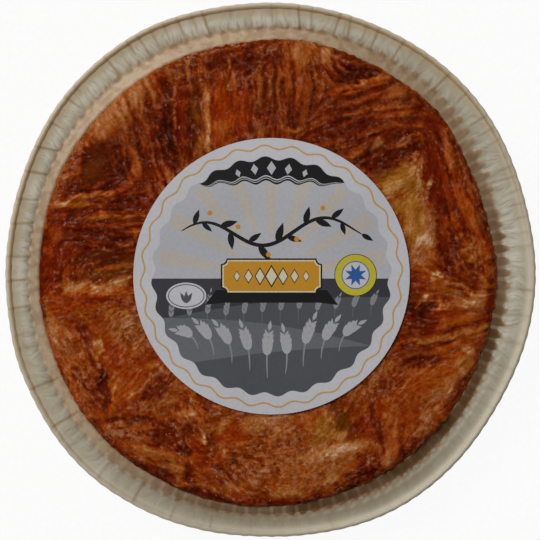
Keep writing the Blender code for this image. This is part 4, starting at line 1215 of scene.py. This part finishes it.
def label_print():
    """The label's print, from the ground up, as (ink, outline) in mm from the label's middle."""
    field = wavy(51.4)
    parts = [("gold_line", wavy(56.4)), ("white_card", wavy(55.6)), ("pale_field", field)]
    # Cream rays behind the upper half
    for bearing in range(10, 181, 20):
        a, b = math.radians(bearing - 4), math.radians(bearing + 4)
        corners = [(17, a), (49.5, a), (49.5, b), (17, b)]
        parts.append(("cream_tint", np.array([(r * math.cos(t), r * math.sin(t)) for r, t in corners])))
    # Fields of wheat in greys under the middle, the nearest the palest
    for ink, level, slant, bow in (
        ("charcoal", -1.0, 0.0, 0.0), ("slate", -14.0, 0.10, 3.0), ("dusk", -25.0, -0.14, 4.0),
        ("slate", -35.0, 0.10, 2.0)
    ):
        parts.append((ink, below(field * 0.999, level, slant, bow)))
    for x in range(-44, 45, 8):
        foot = (x * 0.98, -22 + 0.1 * x)
        parts += wheat_ear(arc(foot, (x + 1.5, -9.5 + (x * 7 % 5) * 0.6), 0.8), 2.6, "mid_grey", "dusk")
    for x, lean in ((-37, -7), (-29, -5), (-20, -6), (-11, -3), (-2, 2), (7, -3), (16, 4), (25, 5), (34, 7)):
        foot = (x * 0.86, -45 + abs(x) * 0.36)
        head = (x + lean * 0.5, -24.5 + (x * 3 % 7) * 0.9)
        parts += wheat_ear(arc(foot, head, lean * 0.3), 5.0, "pale_grey", "mid_grey")
    # A black banner along the top edge with pale lozenges
    turn = np.radians(np.linspace(128, 52, 60))
    share = np.linspace(0, 1, 60)
    outer = 51.2 + WAVE_HEIGHT * np.sin(WAVES * turn)
    for ink, top, low in (("black_ink", 0.0, 10.5), ("white_card", 8.2, 8.7), ("white_card", 9.3, 9.6)):
        fall = np.sin(math.pi * share) ** 0.6
        near, far = outer - top * fall, outer - low * fall
        upper = np.stack((near * np.cos(turn), near * np.sin(turn)), axis=1)
        lower = np.stack((far * np.cos(turn), far * np.sin(turn)), axis=1)[::-1]
        parts.append((ink, np.vstack((upper, lower[1:-1]))))
    for bearing, size in ((108, 1.2), (99, 1.6), (90, 2.0), (81, 1.6), (72, 1.2)):
        b = math.radians(bearing)
        lozenge = np.array([(size, 0), (0, size * 1.5), (-size, 0), (0, -size * 1.5)])
        parts.append(("pale_field", moved(lozenge, 47 * math.cos(b), 47 * math.sin(b), b - math.pi / 2)))
    # A leafy branch in black wanders across the pale half
    share = np.linspace(0, 1, 90)
    stem = np.stack((-39 + 78 * share, 17.5 + 3 * share + 5.5 * np.sin(math.tau * 1.5 * share + 0.4)), axis=1)
    parts.append(("black_ink", ribbon(stem, 1.7, 0.2)))
    for place, way, length, turn in (
        (6, 1, 7, 0.9), (10, -1, 6, 0.8), (19, 1, 8, 0.7), (24, -1, 8, 0.9), (33, 1, 7, 1.0),
        (38, -1, 9, 0.8), (47, 1, 9, 0.8), (52, -1, 7, 0.9), (61, 1, 8, 0.8), (66, -1, 8, 0.7),
        (74, 1, 7, 0.9), (79, -1, 6, 0.8)
    ):
        leaf = kernel(*stem[place], heading(stem, place) + way * turn, length, length * 0.36)
        parts.append(("black_ink", leaf))
    parts.append(("black_ink", kernel(*stem[-1], heading(stem, -1), 6, 2.2)))
    for place, way in ((14, 1), (28, 1), (43, -1), (57, -1), (70, 1)):
        parts.append(("mustard", circle(1.1, 20, stem[place][0], stem[place][1] + way * 4.2)))
    # The mustard plaque over the horizon, on a folded black ribbon, with a row of lozenges
    parts += [
        (
            "black_ink",
            np.array([(-29, -12.5), (-24, -6.0), (24, -6.0), (29, -12.5), (21, -11.5), (-21, -11.5)])
        ),
        ("black_ink", plaque(44.0, 15.5)), ("cream", plaque(42.6, 14.1)), ("mustard", plaque(41.4, 12.9))
    ]
    for x, size in ((-15, 2.0), (-10, 2.6), (-5, 3.2), (0, 4.0), (5, 3.2), (10, 2.6), (15, 2.0)):
        for ink, share in (("black_ink", 1.25), ("cream", 1.0)):
            r = size * share
            parts.append((ink, moved(np.array([(r * 0.6, 0), (0, r), (-r * 0.6, 0), (0, -r)]), x, 0)))
    # A yellow seal with a blue star, and a pale oval seal
    parts += [
        ("black_ink", circle(9.2, 72, 36.5, 0.5)), ("yellow", circle(8.9, 72, 36.5, 0.5)),
        ("blue", circle(6.1, 60, 36.5, 0.5)), ("white_card", circle(5.7, 60, 36.5, 0.5))
    ]
    star = [(5.0 if i % 2 else 2.4, i * math.pi / 8) for i in range(16)]
    parts.append(("blue", moved(np.array([(r * math.cos(t), r * math.sin(t)) for r, t in star]), 36.5, 0.5)))
    parts += [
        ("white_card", circle(8.7, 72, -37, -8.5, 0.66)), ("slate", circle(7.9, 72, -37, -8.5, 0.64)),
        ("white_card", circle(7.5, 72, -37, -8.5, 0.62))
    ]
    for lean in (-0.5, 0.0, 0.5):
        parts.append(("slate", kernel(-37, -11.8, math.pi / 2 + lean, 5.4, 1.8)))
    return parts


INKS = {
    "white_card": ("DCDEE8", 0.5),
    "gold_line": ("D8B070", 0.4),
    "pale_field": ("C9CBD6", 0.5),
    "cream_tint": ("D0CBC4", 0.5),
    "charcoal": ("3C3E46", 0.4),
    "slate": ("5A5D66", 0.4),
    "dusk": ("747780", 0.4),
    "mid_grey": ("9A9DA6", 0.4),
    "pale_grey": ("BEC1CA", 0.4),
    "mustard": ("DC9F22", 0.4),
    "black_ink": ("131316", 0.35),
    "cream": ("EFE6CC", 0.45),
    "yellow": ("DCD038", 0.4),
    "blue": ("2C68B4", 0.4),
}


def printed_card(name, colour, roughness):
    """Satin card, printed with flat inks: even colour with the card's slight mottle and a soft sheen."""
    made, tree = new_material("satin_card_ink_" + name)
    add = partial(add_node, tree)
    place = add("TexCoord", out="Object")
    mottle = add("TexNoise", {"Vector": place, "Scale": 700.0, "Detail": 3.0})
    drift = add("TexNoise", {"Vector": place, "Scale": 30.0, "Detail": 1.0})
    amount = add("MapRange", add("Math ADD", mottle, drift), 0.7, 1.3, 0.93, 1.07)
    base = add("VectorMath SCALE", {0: linear(colour)[:3], "Scale": amount})
    normal = add("Bump", {"Strength": 0.12, "Distance": 0.0001, "Height": mottle})
    shader = add("BsdfPrincipled", {"Base Color": base, "Roughness": roughness, "IOR": 1.5, "Normal": normal})
    add("OutputMaterial", shader, out=None)
    return made


def label_mesh():
    """A closed card disc whose upper face is divided along the edges of the print."""
    parts = [("white_card", circle(LABEL_RADIUS, OUTLINE_STEPS))] + label_print()
    corners, loops = [], []
    for _, outline in parts:
        x, y = outline[:, 0], outline[:, 1]
        if np.sum(x * np.roll(y, -1) - y * np.roll(x, -1)) < 0:
            outline = outline[::-1]
        loops.append(list(range(len(corners), len(corners) + len(outline))))
        corners += [Vector(p) for p in outline]
    places, _, triangles, _, _, owners = geometry.delaunay_2d_cdt(corners, [], loops, 1, 1e-5, True)
    count = len(places)
    low, high = LABEL_LOW.z / MM, LABEL_HIGH.z / MM
    points = [(p.x + LABEL_MIDDLE.x, p.y + LABEL_MIDDLE.y, z) for z in (high, low) for p in places]
    inks = list(INKS)
    faces, slots = [], []
    edges = {}
    for triangle, owner in zip(triangles, owners):
        faces.append(tuple(triangle))
        slots.append(inks.index(parts[max(owner)][0]) if owner else 0)
        for a, b in zip(triangle, triangle[1:] + triangle[:1]):
            edges[a, b] = True
    for triangle in triangles:
        faces.append(tuple(v + count for v in reversed(triangle)))
        slots.append(0)
    for a, b in edges:
        if (b, a) not in edges:
            faces.append((b, a, a + count, b + count))
            slots.append(0)
    made = mesh_from("label", points, faces, smooth=False)
    for name, (colour, roughness) in INKS.items():
        made.materials.append(printed_card(name, colour, roughness))
    made.polygons.foreach_set("material_index", slots)
    made.update()
    return made


# ---------------------------------------------------------------- settings


def hex_colour(name, default):
    """A setting for a colour."""
    return StringProperty(name=name, description="sRGB hex", default=default)


class CaseLook(bpy.types.PropertyGroup):
    crispness: FloatProperty(
        name="Crispness", description="How square the flutes are pressed", default=1.6, min=0.2, max=4.0
    )
    unevenness: FloatProperty(
        name="Unevenness", description="How much the flutes differ", default=0.35, min=0.0, max=1.0,
        subtype="FACTOR"
    )
    paper_shade: hex_colour("Paper shade", "D9D4BE")
    paper_colour: hex_colour("Paper", "EAE6D1")
    paper_light: hex_colour("Paper light", "F8F5E9")
    # Turned brown in the oven, and also the painted shade on the flange and on the rolled edge's outer lip
    browned_and_shade_colour: hex_colour("Browned paper", "AEA38A")
    wall_colour: hex_colour("Wall", "EAD4B4")
    # Buttered wall, darkened to stand for the cake's painted shadow on it
    soaked_shade_colour: hex_colour("Buttered wall", "7E5C38")
    lit_through: hex_colour("Light through it", "F8EACC")
    # Burnished folds: the colour of the painted highlights on the folds
    glint_white: hex_colour("Burnished folds", "FCFBF2")
    # Fold under the shoulder: the wall's mottle, and the painted shade line under the shoulder
    arch_mottle_and_shade_colour: hex_colour("Fold under the shoulder", "C6A07C")
    # Rolled edge, also used as the painted light on its side facing the light
    bead_colour: hex_colour("Rolled edge", "FAF3DE")
    # Browned line: the painted shade line on the side away from the light
    shade_line_colour: hex_colour("Browned line", "CCA874")
    scorch_colour: hex_colour("Scorched creases", "A88254")


class CrustLook(bpy.types.PropertyGroup):
    sugar: hex_colour("Sugary", "C98E6C")
    # Flake edges: pale flake edges with painted glints on them
    flake_edge_glint: hex_colour("Flake edges", "DCA084")
    grain_dark: hex_colour("Grain, dark", "8A4A20")
    grain_light: hex_colour("Grain, light", "D4A070")
    grain_density: FloatProperty(
        name="Grain density", description="Sugar crystals for each square metre of sugary crust",
        default=150000.0, min=0.0
    )


class StageLook(bpy.types.PropertyGroup):
    key_watts: FloatProperty(
        name="Key light", description="Power of the soft light", default=52.0, min=0.0, unit="POWER"
    )
    sky: FloatProperty(name="Sky", description="Strength of the fill light", default=0.36, min=0.0)
    floor_glow: FloatProperty(
        name="Floor glow", description="Keeps the floor pale under the shadows", default=1.0, min=0.0
    )


# ---------------------------------------------------------------- operators

FEWEST_FACES = 1000  # of the sugar crystals together
FLOOR_HALF = 4000  # mm
FLOOR_GAP = 0.2
KEY_SIZE = 1.6  # metres
KEY_DISTANCE = 3.2
KEY_BEARING = (-0.41, 0.41, 0.82)  # from the cake towards the light
LENS = 146.0
CAMERA_PLACE = (0.65 * MM, 0.1 * MM)
CAMERA_RISE = 0.95  # metres above the crown


class KOUIGN_OT_baking_case(bpy.types.Operator):
    """Press a sheet of paper into a round fluted case with a rolled edge"""

    bl_idname = "kouign.baking_case"
    bl_label = "Baking case"

    def execute(self, context):
        look = context.scene.kouign_case
        bead = [
            (
                BEAD_MIDDLE[0] + BEAD_REACH[0] * math.cos(math.radians(turn)),
                BEAD_MIDDLE[1] + BEAD_REACH[1] * math.sin(math.radians(turn)), 0.1
            )
            for turn in BEAD_TURNS
        ]
        profile = CASE_PROFILE + bead
        guide = bpy.data.meshes.new("case_profile")
        guide.from_pydata(
            [(r * MM, 0.0, z * MM) for r, z, _ in profile], [(i, i + 1) for i in range(len(profile) - 1)],
            []
        )
        keep_field(guide, "flute_depth", [depth * MM for _, _, depth in profile])
        case = place_object("fluted_case", guide)
        grow(
            case, fluted_case_tree(greaseproof_paper(look)), Flutes=FLUTES, Columns=COLUMNS,
            Drop=FLUTE_DROP, Crispness=look.crispness, Unevenness=look.unevenness, Seed=7.0
        )
        mesh = case.data
        count = len(mesh.vertices)
        flat = np.empty(count * 3)
        mesh.vertices.foreach_get("co", flat)
        place = flat.reshape(-1, 3)
        reach = np.hypot(place[:, 0], place[:, 1]) / MM
        bearing = np.degrees(np.arctan2(place[:, 1], place[:, 0]))
        # The wall next to the cake follows the cake's outline, the rim its own
        hugging = ease(reach, 94, 99) * (1 - ease(reach, 102.2, 111.0))
        give = lobes_at(bearing, CASE_LOBES) * place[:, 2] / (RIM_HEIGHT * MM)
        give = give * (1 - hugging) + lobes_at(bearing, CAKE_LOBES) * hugging
        stretch = np.where(reach > 1, (reach + give) / np.maximum(reach, 1), 1.0)
        place[:, :2] *= stretch[:, None]
        ledge = ease(reach, 100.8, 101.3) * (1 - ease(reach, 103.5, 107.6))
        place[:, 2] += lobes_at(bearing, LEDGE_LOBES) * ledge * MM
        crease = np.zeros(count)
        for middle, strength, inner, lean in CREASES:
            away = (bearing - middle + lean * (reach - 115) / 10 + 180) % 360 - 180
            span = ease(reach, inner - 1, inner + 2) * (1 - 0.5 * ease(reach, 115, 116.4))
            crease = np.maximum(crease, strength * bump(away / 0.5) * span)
        place[:, 2] -= 0.1 * crease * MM
        fields = {
            "reach": reach, "crease": crease, "soak_and_shade": np.clip(lobes_at(bearing, SOAK_AND_SHADE_LOBES), 0, 1),
            "browned_shaded": np.clip(lobes_at(bearing, TAN_AND_SHADE_LOBES), 0, 1)
        }
        for name, field in fields.items():
            keep_field(mesh, name, field)
        mesh.vertices.foreach_set("co", place.ravel())
        mesh.update()
        thick = case.modifiers.new("Paper", "SOLIDIFY")
        thick.thickness = PAPER * MM
        thick.offset = 1.0 if mesh.polygons[0].normal.z > 0 else -1.0
        freeze(case)
        if len(case.data.polygons) < count:
            raise RuntimeError("the case has lost its flutes")
        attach(case, "root")
        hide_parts("baking_case")
        return {"FINISHED"}


class KOUIGN_OT_crust(bpy.types.Operator):
    """Bake the cake: folded strands of dough under caramel, with sugar grains on them"""

    bl_idname = "kouign.crust"
    bl_label = "Caramelised crust"

    def execute(self, context):
        look = context.scene.kouign_crust
        relief, looks = sculpt_crust()
        mesh = crust_mesh(relief, looks)
        crust = place_object("caramelised_cake", mesh)
        mesh.materials.append(caramelised_dough(look))
        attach(crust, "root")
        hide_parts("pastry")
        return {"FINISHED"}


class KOUIGN_OT_sugar(bpy.types.Operator):
    """Scatter half-melted sugar crystals where the crust is sugary"""

    bl_idname = "kouign.sugar"
    bl_label = "Sugar crystals"

    def execute(self, context):
        look = context.scene.kouign_crust
        crust = bpy.data.objects["caramelised_cake"].data
        count = len(crust.vertices)
        sugar, flat, normals = np.empty(count), np.empty(count * 3), np.empty(count * 3)
        crust.attributes["sugar"].data.foreach_get("value", sugar)
        crust.vertices.foreach_get("co", flat)
        crust.vertices.foreach_get("normal", normals)
        x, y, z = flat.reshape(-1, 3).T / MM
        clear = np.hypot(x - LABEL_MIDDLE.x, y - LABEL_MIDDLE.y) > LABEL_RADIUS + 1.5
        upward = normals.reshape(-1, 3)[:, 2] > 0.2
        weight = (0.02 + np.clip(sugar - 0.35, 0, 1)) * clear * upward * (z > 22)
        ground = crust.copy()
        keep_field(ground, "grains", weight)
        grains = grow(
            place_object("sugar_crystals", ground), scattered_tree(sugar_glass(look)),
            Density=look.grain_density, Smallest=(0.16 * MM, 0.16 * MM, 0.12 * MM),
            Largest=(0.42 * MM, 0.36 * MM, 0.26 * MM), Sink=0.03 * MM, Seed=5
        )
        if len(grains.data.polygons) < FEWEST_FACES:
            raise RuntimeError("too few sugar crystals were scattered")
        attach(grains, "root")
        return {"FINISHED"}


class KOUIGN_OT_label(bpy.types.Operator):
    """Print the round card label and lay it on the crown"""

    bl_idname = "kouign.label"
    bl_label = "Label"

    def execute(self, context):
        label = place_object("printed_label", label_mesh())
        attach(label, "root")
        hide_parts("label")
        return {"FINISHED"}


class KOUIGN_OT_stage(bpy.types.Operator):
    """Set up the pale floor, the soft light and the camera overhead"""

    bl_idname = "kouign.stage"
    bl_label = "Stage"

    def execute(self, context):
        look = context.scene.kouign_stage
        scene = context.scene
        scene.view_settings.view_transform = "Standard"
        under = CASE_LOW.z / MM - FLOOR_GAP
        corners = [(x * FLOOR_HALF, y * FLOOR_HALF, under) for x, y in ((-1, -1), (1, -1), (1, 1), (-1, 1))]
        floor = place_object("floor", mesh_from("floor", corners, [(0, 1, 2, 3)], smooth=False))
        backdrop, tree = new_material("matt_backdrop_paper")
        add = partial(add_node, tree)
        place = add("TexCoord", out="Object")
        tooth = add("TexNoise", {"Vector": place, "Scale": 400.0})
        colour = add("ValToRGB", tooth, stops=[(0.3, "FDFDFD"), (0.7, "FFFFFF")])
        sheet = add("BsdfPrincipled", {"Base Color": colour, "Roughness": 0.9})
        glow = add("Emission", colour, look.floor_glow)
        # The sheet looks evenly lit, and lights the case from below no more than a lit sheet would
        seen = add("Math MULTIPLY", add("LightPath", out="Is Camera Ray"), 0.95)
        shader = add("MixShader", seen, sheet, glow)
        add("OutputMaterial", shader, out=None)
        floor.data.materials.append(backdrop)

        # Pale walls round the table and a dark ceiling, so the fill comes from low down
        world = bpy.data.worlds.new("room")
        scene.world = world
        world.use_nodes = True
        room = world.node_tree
        room.nodes.clear()
        add = partial(add_node, room)
        direction = add("TexCoord", out="Generated")
        up = add("SeparateXYZ", direction, out="Z")
        walls = add("MapRange", up, 0.45, 0.8, 1.0, 0.12)
        strength = add("Math MULTIPLY", walls, look.sky)
        sky = add("Background", linear("F0ECE6"), strength)
        add("OutputWorld", sky, out=None)

        key = bpy.data.lights.new("key", "AREA")
        key.energy = look.key_watts
        key.size = KEY_SIZE
        key.color = linear("FFFBF6")[:3]
        key_object = bpy.data.objects.new("key", key)
        scene.collection.objects.link(key_object)
        toward = Vector(KEY_BEARING).normalized()
        key_object.location = toward * KEY_DISTANCE
        key_object.rotation_euler = toward.to_track_quat("Z", "Y").to_euler()

        camera = bpy.data.cameras.new("camera")
        camera.lens = LENS
        camera_object = bpy.data.objects.new("camera", camera)
        scene.collection.objects.link(camera_object)
        camera_object.location = (*CAMERA_PLACE, CAKE_HIGH.z + CAMERA_RISE)
        scene.camera = camera_object
        return {"FINISHED"}


class KOUIGN_PT_sidebar(bpy.types.Panel):
    bl_label = "Kouign amann"
    bl_idname = "KOUIGN_PT_sidebar"
    bl_space_type = "VIEW_3D"
    bl_region_type = "UI"
    bl_category = "Kouign amann"

    def draw(self, context):
        for operator in OPERATORS:
            self.layout.operator(operator.bl_idname)
        for name in LOOKS:
            settings = getattr(context.scene, name)
            box = self.layout.box()
            for item in settings.__annotations__:
                box.prop(settings, item)


OPERATORS = [
    KOUIGN_OT_baking_case,
    KOUIGN_OT_crust,
    KOUIGN_OT_sugar,
    KOUIGN_OT_label,
    KOUIGN_OT_stage,
]
LOOKS = {"kouign_case": CaseLook, "kouign_crust": CrustLook, "kouign_stage": StageLook}


def register():
    for group in LOOKS.values():
        bpy.utils.register_class(group)
    for name, group in LOOKS.items():
        setattr(bpy.types.Scene, name, PointerProperty(type=group))
    for cls in [*OPERATORS, KOUIGN_PT_sidebar]:
        bpy.utils.register_class(cls)


def unregister():
    for cls in [KOUIGN_PT_sidebar, *reversed(OPERATORS)]:
        bpy.utils.unregister_class(cls)
    for name in LOOKS:
        delattr(bpy.types.Scene, name)
    for group in LOOKS.values():
        bpy.utils.unregister_class(group)


def main():
    register()
    bpy.ops.kouign.baking_case()
    bpy.ops.kouign.crust()
    bpy.ops.kouign.sugar()
    bpy.ops.kouign.label()
    bpy.ops.kouign.stage()


if __name__ == "__main__":
    main()
